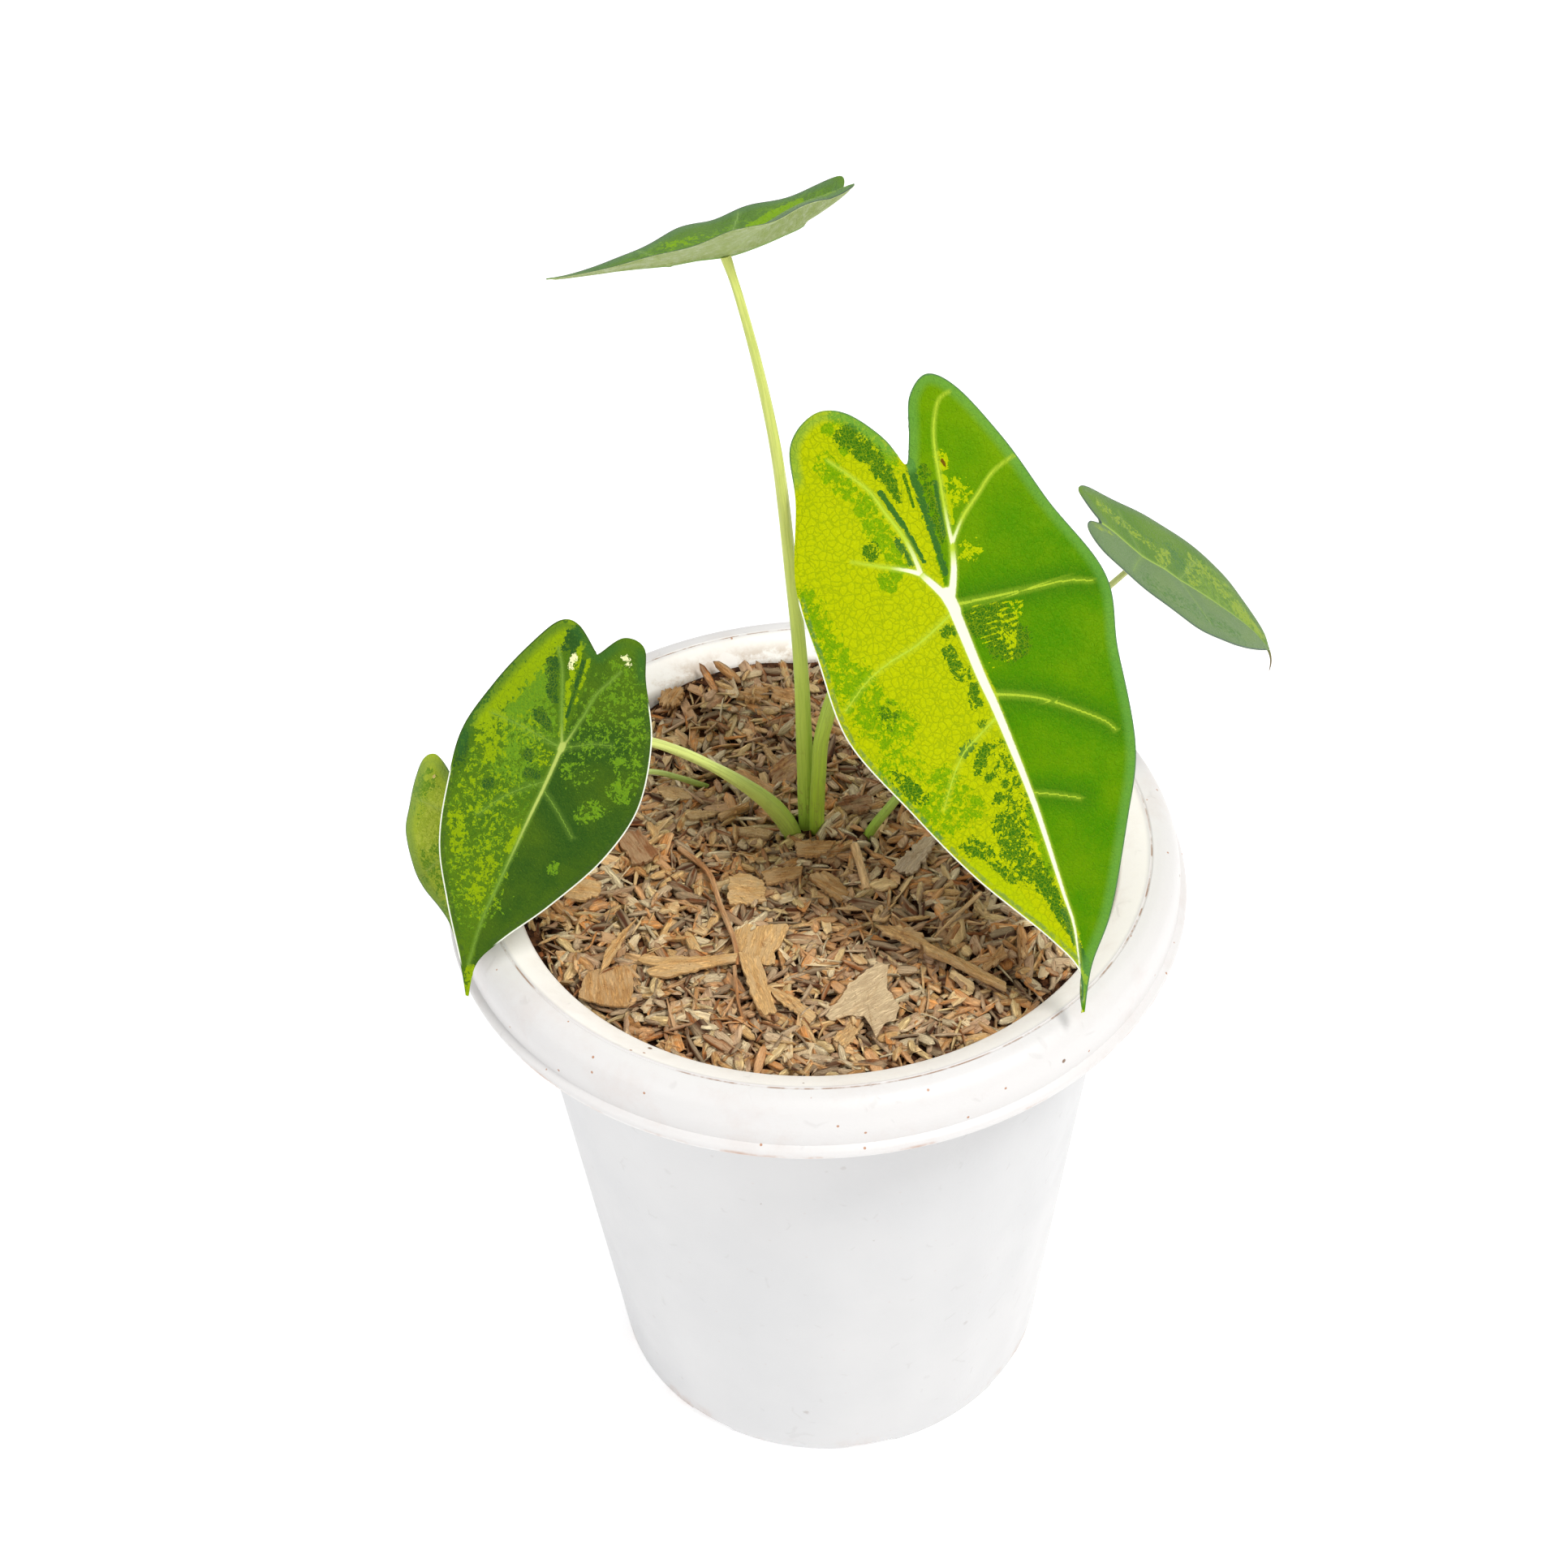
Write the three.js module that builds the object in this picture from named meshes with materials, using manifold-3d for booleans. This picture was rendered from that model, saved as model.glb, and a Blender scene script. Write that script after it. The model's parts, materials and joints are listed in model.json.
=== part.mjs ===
// A young variegated alocasia in its white plastic nursery pot.
// Millimetres, +Z up. The origin is the centre of the pot's underside.

import * as THREE from 'three';
import Module from 'manifold-3d';
import { mergeVertices } from 'three/addons/utils/BufferGeometryUtils.js';

const wasm = await Module();
wasm.setup();

// ---------------------------------------------------------------- driving dimensions

const CLEARANCE = 0.3; // gap between pieces that touch

const POT = {
  footRadius: 65.3,
  wallTopRadius: 86.4,
  wallTopHeight: 178,
  wallThickness: 1.9,
  floorThickness: 2.4,
  lipRadius: 84.4,
  lipHeight: 189.8,
  crestRadius: 93.2,
  crestHeight: 194.2,
  beadRadius: 103.6,
  beadHeight: 179.4,
  segments: 60,
  panels: 20, // shallow upright panels moulded into the wall
  panelDepth: 0.5,
  drainHoles: 8,
  drainHoleRadius: 4.5,
  drainRingRadius: 42,
  notches: 8,
  notchSize: [17, 12, 2.2],
  notchTurn: 0.17, // radians from +X to the first notch
};

const SOIL = {
  level: 182.5, // height at the wall
  mound: 3.5, // how much higher the middle lies
  roughness: 1.6,
  rings: 4,
  segments: 36,
  seed: 41,
  crowding: 0.17, // room kept round a grain, as a share of its length and width
  husks: { count: 100, size: [14, 5.6, 5], spread: 0.9 },
  chips: { count: 34, size: [15, 9.5, 5], spread: 0.6 },
  splinters: { count: 14, size: [25, 3.6, 4], spread: 0.3 },
};

// Larger pieces of bark and wood that lie on top: centre, length/width/height, turn in degrees.
const LARGE_CHIPS = [
  { at: [10.8, -54.5], size: [25, 19, 4.5], turn: 28 },
  { at: [-53, -42], size: [16, 16, 4.5], turn: 12 },
  { at: [-16.3, -33.4], size: [18, 14, 4.5], turn: 78 },
  { at: [-16.2, -51], size: [24, 10, 4], turn: -75 },
  { at: [-36, -41], size: [29, 8, 4], turn: 3 },
  { at: [38, -42], size: [36, 5, 4], turn: -41 },
  { at: [-20.5, -14.5], size: [12, 9.5, 4.5], turn: 20 },
  { at: [3.5, -9], size: [16, 10, 4.5], turn: -8 },
  { at: [28, -2.5], size: [16, 15, 5], turn: 35 },
  { at: [-65, -9.5], size: [15, 10, 4.5], turn: 70 },
  { at: [-54, -27], size: [18, 6, 4], turn: 55 },
  { at: [-15.4, 70], size: [22, 8, 4], turn: 4 },
  { at: [-14, 29], size: [14, 9, 4.5], turn: -35 },
  { at: [46, 26], size: [16, 8, 4.5], turn: 70 },
  { at: [10, 52], size: [14, 9, 4.5], turn: -50 },
];

const GRAIN_RISE = 0.22; // share of a grain's height by which its middle stands above the soil

const BLADE = {
  thickness: 0.8, // of the leaf's web
  columns: [0, 0.09, 0.4, 0.72, 1], // share of the way from the midrib to the margin
};

// Each leaf lies in a frame of its own, with its origin at the hub, where the stem and the main
// veins meet: u runs along the midrib to the tip, v across it, n up from the upper face.
//   along, facing   directions of u and of n
//   midrib          the midrib's v at a few places u
//   margins         the leaf's edge on each side, from the tip round the lobe to the sinus
//   sag, lift       how far the tip bends down and the lobes bend up, along n
//   keel, curl      slope of each half at the midrib, and its roll back towards the margin
//   wave            height, length and phase of the margin's waves
//   stations        rows of the blade's net, from the tip to the hub and on to the sinus
//   ribHeight       how far the midrib stands out below
//   stem            points and radii of the petiole, from its root up to the hub
const LEAVES = [
  {
    name: 'leaf_front',
    colour: 0x74a01e,
    stemColour: 0x9fb35a,
    hub: [36.6, -10, 285.2],
    along: [0.28, -0.64, -0.72],
    facing: [0.01, -0.743, 0.67],
    midrib: [[-37, 0], [0, 0], [28, 4], [60, 5], [92, 5], [111, 0]],
    margins: [
      [
        [111, -0.5], [101, 2.4], [90, -2.5], [69, -16], [49, -26], [26, -36], [3, -37], [-16, -36.5],
        [-36, -30], [-50, -27], [-56, -19], [-54, -11], [-45, -3.5], [-37, -0.6],
      ],
      [
        [111, 0.5], [100, 6], [88, 15], [67, 26], [49, 34], [25, 37], [6, 40], [-18, 31.5],
        [-36, 25.5], [-51, 18.5], [-57, 12], [-53, 6], [-44, 3], [-37, 0.6],
      ],
    ],
    stations: [14, 10],
    sag: 5,
    lift: 4,
    keel: 0.1,
    curl: 4,
    wave: [1.3, 30, 0.4],
    ribHeight: 1.1,
    stem: {
      points: [
        [0.6, 11.5, 171], [0.6, 11.5, 190], [1.6, 11, 210], [3.2, 11, 225], [13, 12, 254],
        [26, 9, 271], [36.5, -1, 277.3],
      ],
      radii: [2.1, 2.1, 2.1, 2.1, 2, 1.9, 1.8, 1.7],
    },
  },
  {
    name: 'leaf_left',
    colour: 0x4f7a24,
    stemColour: 0xa3b862,
    hub: [-65.6, -20, 248.8],
    along: [-0.39, -0.62, -0.68],
    facing: [0.01, -0.743, 0.67],
    midrib: [[-26, 0], [0, 0], [22, -1.5], [50, -3.4], [70, 0]],
    margins: [
      [
        [70, -0.4], [62, -5], [48, -14], [35, -21], [18, -25], [4, -26], [-10, -22.5], [-24, -16.5],
        [-31, -12], [-31.5, -7], [-26.5, -0.5],
      ],
      [
        [70, 0.4], [61, -0.6], [52, 4], [40, 12], [23, 21], [7, 24.5], [-10, 21.5], [-24, 14.5],
        [-32, 11], [-32.5, 5], [-26.5, 0.5],
      ],
    ],
    stations: [12, 8],
    sag: 4,
    lift: 3,
    keel: 0.12,
    curl: 3,
    wave: [1, 24, 1.2],
    ribHeight: 0.9,
    stem: {
      points: [
        [-6.6, 11, 171], [-6.3, 11, 185], [-10.3, 9, 197], [-17.4, 6, 208.5], [-32.8, -1, 227.4],
        [-45, -6, 238], [-58, -9, 242.5], [-65.7, -13.8, 243.3],
      ],
      radii: [2.6, 2.7, 2.6, 2, 1.4, 1.35, 1.3, 1.25, 1.2],
    },
  },
  {
    name: 'leaf_top',
    colour: 0x7f9d5c,
    stemColour: 0xb9bf5e,
    hub: [-17.1, 8, 380.4],
    along: [-0.953, -0.3, 0.02],
    facing: [-0.115, 0.42, 0.9],
    midrib: [[-20, 0], [0, 0], [44, 0]],
    margins: [
      [
        [44, -0.4], [38.5, -1.4], [30, -4.3], [21, -8.5], [12, -13], [5, -16.5], [-1, -18.5],
        [-10, -18], [-19, -15.5], [-27, -11], [-31.5, -6.5], [-29, -3], [-20, -0.5],
      ],
      [
        [44, 0.4], [38.5, 1.4], [30, 4.3], [21, 8.5], [12, 13], [5, 16.5], [-1, 18.5],
        [-10, 18], [-19, 15], [-27, 11.5], [-32, 6.5], [-29, 3], [-20, 0.5],
      ],
    ],
    stations: [9, 7],
    sag: -1.5,
    lift: 9.5,
    keel: 0.37,
    curl: 0,
    wave: [0.7, 21, 0],
    ribHeight: 0.8,
    stem: {
      points: [
        [-2.2, 15.8, 171], [-2.2, 15.6, 190], [-2.2, 14.4, 219], [-2.6, 13, 252], [-4.3, 12, 283],
        [-6.6, 10, 319], [-10.3, 8, 347], [-15, 6, 370],
      ],
      radii: [2.4, 2.4, 2.2, 2, 1.8, 1.6, 1.4, 1.2, 1],
    },
  },
  {
    name: 'leaf_right',
    colour: 0x7d9a6a,
    stemColour: 0xa9b86a,
    hub: [89, 17, 276.4],
    along: [0.75, 0.04, -0.66],
    facing: [0.66, 0, 0.75],
    midrib: [[-15, 3], [0, 0.4], [22, 1.6], [40, 2.4], [50, 0]],
    margins: [
      [
        [50, -0.4], [43, -6.5], [35, -12], [27, -16], [14, -19.5], [1, -18], [-9, -16],
        [-18, -13], [-22, -7], [-20.5, -1], [-15, 2.7],
      ],
      [
        [50, 0.4], [48, 6], [40, 13], [32, 17.5], [18, 19.5], [5, 18.5], [-9, 16], [-20, 13.5],
        [-23, 10], [-20, 6.5], [-15, 3.3],
      ],
    ],
    stations: [9, 7],
    sag: 2,
    lift: 0.5,
    keel: 0.12,
    curl: 0.5,
    wave: [0.6, 22, 0.5],
    ribHeight: 0.7,
    stem: {
      points: [
        [11, 9, 171], [14.1, 9, 185], [22.7, 10, 198.8], [44.5, 12, 228], [66.2, 14, 254.1],
        [80, 16, 267.5],
      ],
      radii: [1.5, 1.4, 1.2, 1.05, 0.95, 0.85, 0.8],
    },
  },
  {
    name: 'leaf_small',
    colour: 0x93a83c,
    stemColour: 0xb4bd74,
    hub: [-95.6, -19.9, 225.7],
    along: [-0.05, -0.67, -0.74],
    facing: [-0.45, -0.65, 0.62],
    midrib: [[-9, 0], [0, 0], [33.5, 0]],
    margins: [
      [
        [33.5, -0.4], [28.5, -2.4], [24.5, -5.3], [19.5, -9.9], [14.5, -13.1], [7.5, -14.8],
        [0.5, -15.5], [-9.5, -12.5], [-15, -10], [-16.5, -6.5], [-14, -3.5], [-9, -0.5],
      ],
      [
        [33.5, 0.4], [28.5, 2.4], [24, 5.3], [19, 9.5], [14, 12.5], [7.5, 14], [0.5, 14.5],
        [-9, 12], [-15, 9.5], [-16, 6], [-14, 3.5], [-9, 0.5],
      ],
    ],
    stations: [8, 6],
    sag: 1.5,
    lift: 1,
    keel: 0.12,
    curl: 1,
    wave: [0.5, 16, 0],
    ribHeight: 0.6,
    stem: {
      points: [
        [-20, 40, 174], [-30.5, 33, 185.3], [-38.6, 27, 194.8], [-45.5, 21, 202.7], [-67, 5, 217],
        [-82, -6, 221.5], [-92, -14.8, 221],
      ],
      radii: [0.9, 0.9, 0.85, 0.8, 0.8, 0.75, 0.7, 0.7],
    },
  },
];

// ---------------------------------------------------------------- shared helpers

function seededRandom(seed) {
  let state = seed;
  return () => {
    state = (state + 0x6d2b79f5) | 0;
    let t = Math.imul(state ^ (state >>> 15), 1 | state);
    t = (t + Math.imul(t ^ (t >>> 7), 61 | t)) ^ t;
    return ((t ^ (t >>> 14)) >>> 0) / 4294967296;
  };
}

function meshGeometry(points, triangles) {
  const geometry = new THREE.BufferGeometry();
  const positions = points.flatMap((p) => [p.x, p.y, p.z]);
  geometry.setAttribute('position', new THREE.Float32BufferAttribute(positions, 3));
  geometry.setIndex(triangles.flat());
  return geometry;
}

function toSolid(geometry) {
  const bare = geometry.clone();
  bare.deleteAttribute('normal');
  bare.deleteAttribute('uv');
  const merged = mergeVertices(bare, 1e-4);
  return new wasm.Manifold(new wasm.Mesh({
    numProp: 3,
    vertProperties: Float32Array.from(merged.attributes.position.array),
    triVerts: Uint32Array.from(merged.index.array),
  }));
}

// The largest connected body of a solid, without loose scraps or sealed hollows.
function toGeometry(solid) {
  const bodies = solid.decompose();
  const largest = bodies.reduce((a, b) => (b.volume() > a.volume() ? b : a));
  const mesh = largest.getMesh();
  const geometry = new THREE.BufferGeometry();
  geometry.setAttribute('position', new THREE.Float32BufferAttribute(mesh.vertProperties, 3));
  geometry.setIndex(Array.from(mesh.triVerts));
  return geometry;
}

function finishedMesh(name, geometry, colour, roughness) {
  geometry.computeVertexNormals();
  const mesh = new THREE.Mesh(
    geometry,
    new THREE.MeshStandardMaterial({ color: colour, roughness, metalness: 0 }),
  );
  mesh.name = name;
  return mesh;
}

// Turns a profile of [radius, height] pairs round the Z axis.
function turned(profile, segments) {
  const points = profile.map(([radius, height]) => new THREE.Vector2(radius, height));
  return new THREE.LatheGeometry(points, segments).rotateX(Math.PI / 2);
}

// ---------------------------------------------------------------- pot

function innerRadius(height) {
  const rise = (POT.wallTopRadius - POT.footRadius) / POT.wallTopHeight;
  return POT.footRadius + rise * height - POT.wallThickness;
}

function potProfile() {
  const { footRadius, wallTopRadius, wallTopHeight, floorThickness } = POT;
  const { lipRadius, lipHeight, crestRadius, crestHeight, beadRadius, beadHeight } = POT;
  return [
    [0, 0],
    [footRadius - 1.2, 0],
    [footRadius, 1.3],
    [footRadius + 0.118 * 20, 20],
    [wallTopRadius - 0.118 * 20, wallTopHeight - 20],
    [wallTopRadius, wallTopHeight],
    [wallTopRadius + 1, wallTopHeight + 9],
    [crestRadius - 1.6, crestHeight - 2.8],
    [crestRadius + 2.4, crestHeight - 4],
    [crestRadius + 5.6, crestHeight - 9],
    [beadRadius - 2.2, beadHeight - 0.6],
    [beadRadius - 0.8, beadHeight - 1.2],
    [beadRadius, beadHeight],
    [beadRadius - 0.7, beadHeight + 1.4],
    [beadRadius - 2, beadHeight + 3.4],
    [beadRadius - 2.8, beadHeight + 7.2],
    [crestRadius + 5.4, crestHeight - 3.4],
    [crestRadius + 2.6, crestHeight - 0.9],
    [crestRadius, crestHeight],
    [lipRadius + 0.4, lipHeight],
    [lipRadius - 0.2, lipHeight - 1.6],
    [lipRadius + 0.1, lipHeight - 6],
    [innerRadius(wallTopHeight), wallTopHeight],
    [innerRadius(floorThickness + 3), floorThickness + 3],
    [innerRadius(floorThickness) - 2, floorThickness],
    [0, floorThickness],
  ];
}

// Presses the upright panels into the outside of the wall, between the foot and the collar.
function pressPanels(geometry) {
  const position = geometry.attributes.position;
  for (let i = 0; i < position.count; i += 1) {
    const x = position.getX(i);
    const y = position.getY(i);
    const z = position.getZ(i);
    const radius = Math.hypot(x, y);
    const outside = radius > innerRadius(z) + POT.wallThickness / 2;
    if (outside && z > 10 && z < POT.wallTopHeight - 10) {
      const press = POT.panelDepth * (0.5 - 0.5 * Math.cos(Math.atan2(y, x) * POT.panels));
      position.setXY(i, x * (1 - press / radius), y * (1 - press / radius));
    }
  }
  return geometry;
}

function buildPot() {
  let solid = toSolid(pressPanels(turned(potProfile(), POT.segments)));
  for (let i = 0; i < POT.drainHoles; i += 1) {
    const angle = (i / POT.drainHoles) * 2 * Math.PI;
    const hole = new THREE.CylinderGeometry(POT.drainHoleRadius, POT.drainHoleRadius, 12, 12);
    hole.rotateX(Math.PI / 2);
    hole.translate(POT.drainRingRadius * Math.cos(angle), POT.drainRingRadius * Math.sin(angle), 0);
    solid = solid.subtract(toSolid(hole));
  }
  for (let i = 0; i < POT.notches; i += 1) {
    const notch = new THREE.BoxGeometry(POT.notchSize[1], POT.notchSize[0], 2 * POT.notchSize[2]);
    notch.translate(POT.footRadius, 0, 0);
    notch.rotateZ(POT.notchTurn + (i / POT.notches) * 2 * Math.PI);
    solid = solid.subtract(toSolid(notch));
  }
  return finishedMesh('pot', toGeometry(solid), 0xf1f0ec, 0.42);
}

// ---------------------------------------------------------------- stems

// A closed round stem along a smooth curve, grown by a margin where it is used to cut its hole.
function stemGeometry(points, radii, margin = 0) {
  const sides = 8;
  const steps = 2 * points.length;
  const curve = new THREE.CatmullRomCurve3(points, false, 'centripetal');
  const { tangents, normals, binormals } = curve.computeFrenetFrames(steps, false);
  const vertices = [];
  const triangles = [];
  for (let i = 0; i <= steps; i += 1) {
    const share = i / steps;
    const place = share * (radii.length - 1);
    const low = Math.min(Math.floor(place), radii.length - 2);
    const radius = THREE.MathUtils.lerp(radii[low], radii[low + 1], place - low) + margin;
    const end = i === 0 ? -margin : i === steps ? margin : 0;
    const centre = curve.getPointAt(share).addScaledVector(tangents[i], end);
    for (let j = 0; j < sides; j += 1) {
      const angle = (j / sides) * 2 * Math.PI;
      vertices.push(centre.clone()
        .addScaledVector(normals[i], radius * Math.cos(angle))
        .addScaledVector(binormals[i], radius * Math.sin(angle)));
    }
  }
  for (let i = 0; i < steps; i += 1) {
    for (let j = 0; j < sides; j += 1) {
      const a = i * sides + j;
      const b = i * sides + ((j + 1) % sides);
      triangles.push([a, b, b + sides], [a, b + sides, a + sides]);
    }
  }
  for (let j = 1; j < sides - 1; j += 1) {
    const top = steps * sides;
    triangles.push([0, j + 1, j], [top, top + j, top + j + 1]);
  }
  return meshGeometry(vertices, triangles);
}

// The stem's points, with the last one just below the blade's hub.
function stemPoints(leaf) {
  const { n } = leafAxes(leaf);
  const below = BLADE.thickness / 2 + leaf.ribHeight + CLEARANCE;
  const end = new THREE.Vector3(...leaf.hub).addScaledVector(n, -below);
  return [...leaf.stem.points.map((p) => new THREE.Vector3(...p)), end];
}

// ---------------------------------------------------------------- leaf blades

function leafAxes(leaf) {
  const u = new THREE.Vector3(...leaf.along).normalize();
  const v = new THREE.Vector3(...leaf.facing).cross(u).normalize();
  const n = new THREE.Vector3().crossVectors(u, v).normalize();
  return { u, v, n };
}

// A smooth curve's value at u, through a few [u, v] pairs in rising order of u.
function valueAt(pairs, u) {
  let i = 0;
  while (i < pairs.length - 2 && u > pairs[i + 1][0]) i += 1;
  const [u0, v0] = pairs[i];
  const [u1, v1] = pairs[i + 1];
  const t = THREE.MathUtils.clamp((u - u0) / (u1 - u0), 0, 1);
  return THREE.MathUtils.lerp(v0, v1, t * t * (3 - 2 * t));
}

// Where a point of the flat leaf lies once the leaf has bent, in the leaf's own frame.
function bent(leaf, u, v) {
  const tip = leaf.midrib[leaf.midrib.length - 1][0];
  const lobe = Math.min(...leaf.margins.flat().map(([place]) => place));
  const width = Math.max(...leaf.margins.flat().map(([, across]) => Math.abs(across)));
  const out = Math.abs(v - valueAt(leaf.midrib, u));
  const share = out / width;
  const [height, length, phase] = leaf.wave;
  const along = u > 0 ? -leaf.sag * (u / tip) ** 2 : leaf.lift * (u / lobe) ** 2;
  const across = leaf.keel * out - leaf.curl * share ** 2;
  const wave = height * share ** 2 * Math.sin((2 * Math.PI * u) / length + phase + Math.sign(v));
  return new THREE.Vector3(u, v, along + across + wave);
}

// Rows of flat [u, v] points on one half, each from the midrib out to the margin.
function halfRows(leaf, margin) {
  const edge = new THREE.SplineCurve(margin.map(([u, v]) => new THREE.Vector2(u, v)));
  const tip = margin[0][0];
  const sinus = margin[margin.length - 1][0];
  const [tipward, lobeward] = leaf.stations;
  const fine = 200;
  let shoulder = 0;
  while (edge.getPointAt(shoulder / fine).x > 0) shoulder += 1;
  shoulder /= fine;
  const rows = [];
  for (let i = 0; i <= tipward + lobeward; i += 1) {
    const past = (i - tipward) / lobeward;
    const u = past < 0 ? (-tip * past * lobeward) / tipward : sinus * past;
    const share = past < 0 ? (shoulder * i) / tipward : shoulder + (1 - shoulder) * past;
    const rim = edge.getPointAt(share);
    const rib = new THREE.Vector2(u, valueAt(leaf.midrib, u));
    rows.push(BLADE.columns.map((t) => rib.clone().lerp(rim, t)));
  }
  return rows;
}

// Gives a sheet of triangles two faces and a rim. Both faces are split alike.
function thickened(sheet, triangles, above, below) {
  const geometry = meshGeometry(sheet, triangles);
  geometry.computeVertexNormals();
  const normals = sheet.map((_, i) => new THREE.Vector3().fromBufferAttribute(geometry.attributes.normal, i));
  const top = sheet.map((p, i) => p.clone().addScaledVector(normals[i], above));
  const bottom = sheet.map((p, i) => p.clone().addScaledVector(normals[i], -below[i]));
  const count = sheet.length;
  const faces = [...triangles, ...triangles.map(([a, b, c]) => [a + count, c + count, b + count])];
  const used = new Set(triangles.flatMap(([a, b, c]) => [`${a},${b}`, `${b},${c}`, `${c},${a}`]));
  for (const edge of used) {
    const [a, b] = edge.split(',').map(Number);
    if (!used.has(`${b},${a}`)) {
      faces.push([a, a + count, b + count], [a, b + count, b]);
    }
  }
  return meshGeometry([...top, ...bottom], faces);
}

function bladeGeometry(leaf) {
  const flat = [];
  const indexOf = new Map();
  const place = (point) => {
    const key = `${point.x.toFixed(3)},${point.y.toFixed(3)}`;
    if (!indexOf.has(key)) {
      indexOf.set(key, flat.length);
      flat.push(point);
    }
    return indexOf.get(key);
  };
  const triangles = [];
  const addTriangle = (a, b, c) => {
    if (a !== b && b !== c && c !== a) triangles.push([a, b, c]);
  };
  leaf.margins.forEach((margin, half) => {
    const rows = halfRows(leaf, margin).map((row) => row.map(place));
    for (let i = 0; i < rows.length - 1; i += 1) {
      for (let j = 0; j < BLADE.columns.length - 1; j += 1) {
        const [a, b, c, d] = [rows[i][j], rows[i][j + 1], rows[i + 1][j + 1], rows[i + 1][j]];
        if (half === 0) {
          addTriangle(a, c, b);
          addTriangle(a, d, c);
        } else {
          addTriangle(a, b, c);
          addTriangle(a, c, d);
        }
      }
    }
  });
  const { u, v, n } = leafAxes(leaf);
  const frame = new THREE.Matrix4().makeBasis(u, v, n).setPosition(...leaf.hub);
  const sheet = flat.map((p) => bent(leaf, p.x, p.y).applyMatrix4(frame));
  const tip = leaf.midrib[leaf.midrib.length - 1][0];
  const below = flat.map((p) => {
    const onRib = Math.abs(p.y - valueAt(leaf.midrib, p.x)) < 0.01;
    const rib = onRib ? leaf.ribHeight * (1 - Math.abs(p.x) / tip) : 0;
    return BLADE.thickness / 2 + rib;
  });
  return thickened(sheet, triangles, BLADE.thickness / 2, below);
}

// ---------------------------------------------------------------- soil

function soilHeight(x, y) {
  const radius = Math.hypot(x, y) / POT.lipRadius;
  const lumps = Math.sin(x * 0.11 + 1.3) * Math.cos(y * 0.13 - 0.4)
    + 0.6 * Math.sin(x * 0.23 - y * 0.19 + 2.1);
  return SOIL.level + SOIL.mound * (1 - radius * radius) + SOIL.roughness * lumps * (1 - 0.5 * radius);
}

function soilBody() {
  const base = POT.floorThickness + CLEARANCE;
  const profile = [
    [0, base],
    [innerRadius(base) - 2 - 2 * CLEARANCE, base],
    [innerRadius(base + 3) - CLEARANCE, base + 3],
    [innerRadius(POT.wallTopHeight) - 2 * CLEARANCE, POT.wallTopHeight - 2],
  ];
  const edge = innerRadius(POT.wallTopHeight) - 2 * CLEARANCE;
  for (let i = 0; i <= SOIL.rings; i += 1) {
    profile.push([edge * (1 - i / SOIL.rings), SOIL.level]);
  }
  const geometry = turned(profile, SOIL.segments);
  const position = geometry.attributes.position;
  for (let i = 0; i < position.count; i += 1) {
    if (position.getZ(i) > SOIL.level - 0.5) {
      position.setZ(i, soilHeight(position.getX(i), position.getY(i)));
    }
  }
  return toSolid(geometry);
}

// A grain of the substrate, lying on the soil with its lower part sunk in.
function grain(shape, [x, y], [length, width, height], turn, tilt) {
  shape.scale(length / 2, width / 2, height / 2);
  shape.rotateX(tilt[0]);
  shape.rotateY(tilt[1]);
  shape.rotateZ(turn);
  shape.translate(x, y, soilHeight(x, y) + height * GRAIN_RISE);
  return toSolid(shape);
}

// A slab of bark or wood with uneven corners.
function slab(random) {
  const box = new THREE.BoxGeometry(2, 2, 2);
  const position = box.attributes.position;
  const shifts = new Map();
  for (let i = 0; i < position.count; i += 1) {
    const corner = [position.getX(i), position.getY(i), position.getZ(i)].join();
    if (!shifts.has(corner)) shifts.set(corner, [0.4 * random(), 0.5 * random(), 0.3 * random()]);
    const [dx, dy, dz] = shifts.get(corner);
    position.setXYZ(
      i,
      position.getX(i) * (1 - dx),
      position.getY(i) * (1 - dy),
      position.getZ(i) * (1 - dz),
    );
  }
  return box;
}

// Scatters grains over the soil, each in free ground between those already placed.
function scatter(random, placed, { count, size, spread }, makeShape) {
  const grains = [];
  const reach = innerRadius(POT.wallTopHeight) - 4 * CLEARANCE;
  for (let tries = 0; tries < 40 * count && grains.length < count; tries += 1) {
    const scale = 0.75 + 0.5 * random();
    const dimensions = size.map((side) => side * scale);
    const halfDiagonal = Math.hypot(dimensions[0], dimensions[1]) / 2;
    const radius = (reach - halfDiagonal) * Math.sqrt(random());
    const angle = 2 * Math.PI * random();
    const at = [radius * Math.cos(angle), radius * Math.sin(angle)];
    const room = SOIL.crowding * (dimensions[0] + dimensions[1]);
    const free = placed.every(([x, y, other]) => Math.hypot(at[0] - x, at[1] - y) > room + other);
    if (free) {
      const tilt = [spread * (random() - 0.5), 0.6 * spread * (random() - 0.5)];
      placed.push([...at, room]);
      grains.push(grain(makeShape(), at, dimensions, 2 * Math.PI * random(), tilt));
    }
  }
  return grains;
}

function buildSoil() {
  const random = seededRandom(SOIL.seed);
  const placed = LARGE_CHIPS.map(({ at, size }) => [...at, SOIL.crowding * (size[0] + size[1])]);
  const grains = LARGE_CHIPS.map(({ at, size, turn }) => {
    return grain(slab(random), at, size, THREE.MathUtils.degToRad(turn), [0.1, 0.06]);
  });
  grains.push(...scatter(random, placed, SOIL.splinters, () => slab(random)));
  grains.push(...scatter(random, placed, SOIL.chips, () => slab(random)));
  grains.push(...scatter(random, placed, SOIL.husks, () => new THREE.OctahedronGeometry(1)));
  let solid = soilBody();
  for (const piece of grains) solid = solid.add(piece);
  for (const leaf of LEAVES) {
    solid = solid.subtract(toSolid(stemGeometry(stemPoints(leaf), leaf.stem.radii, CLEARANCE)));
  }
  return finishedMesh('soil', toGeometry(solid), 0x9a7142, 0.95);
}

// ---------------------------------------------------------------- assembly

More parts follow.
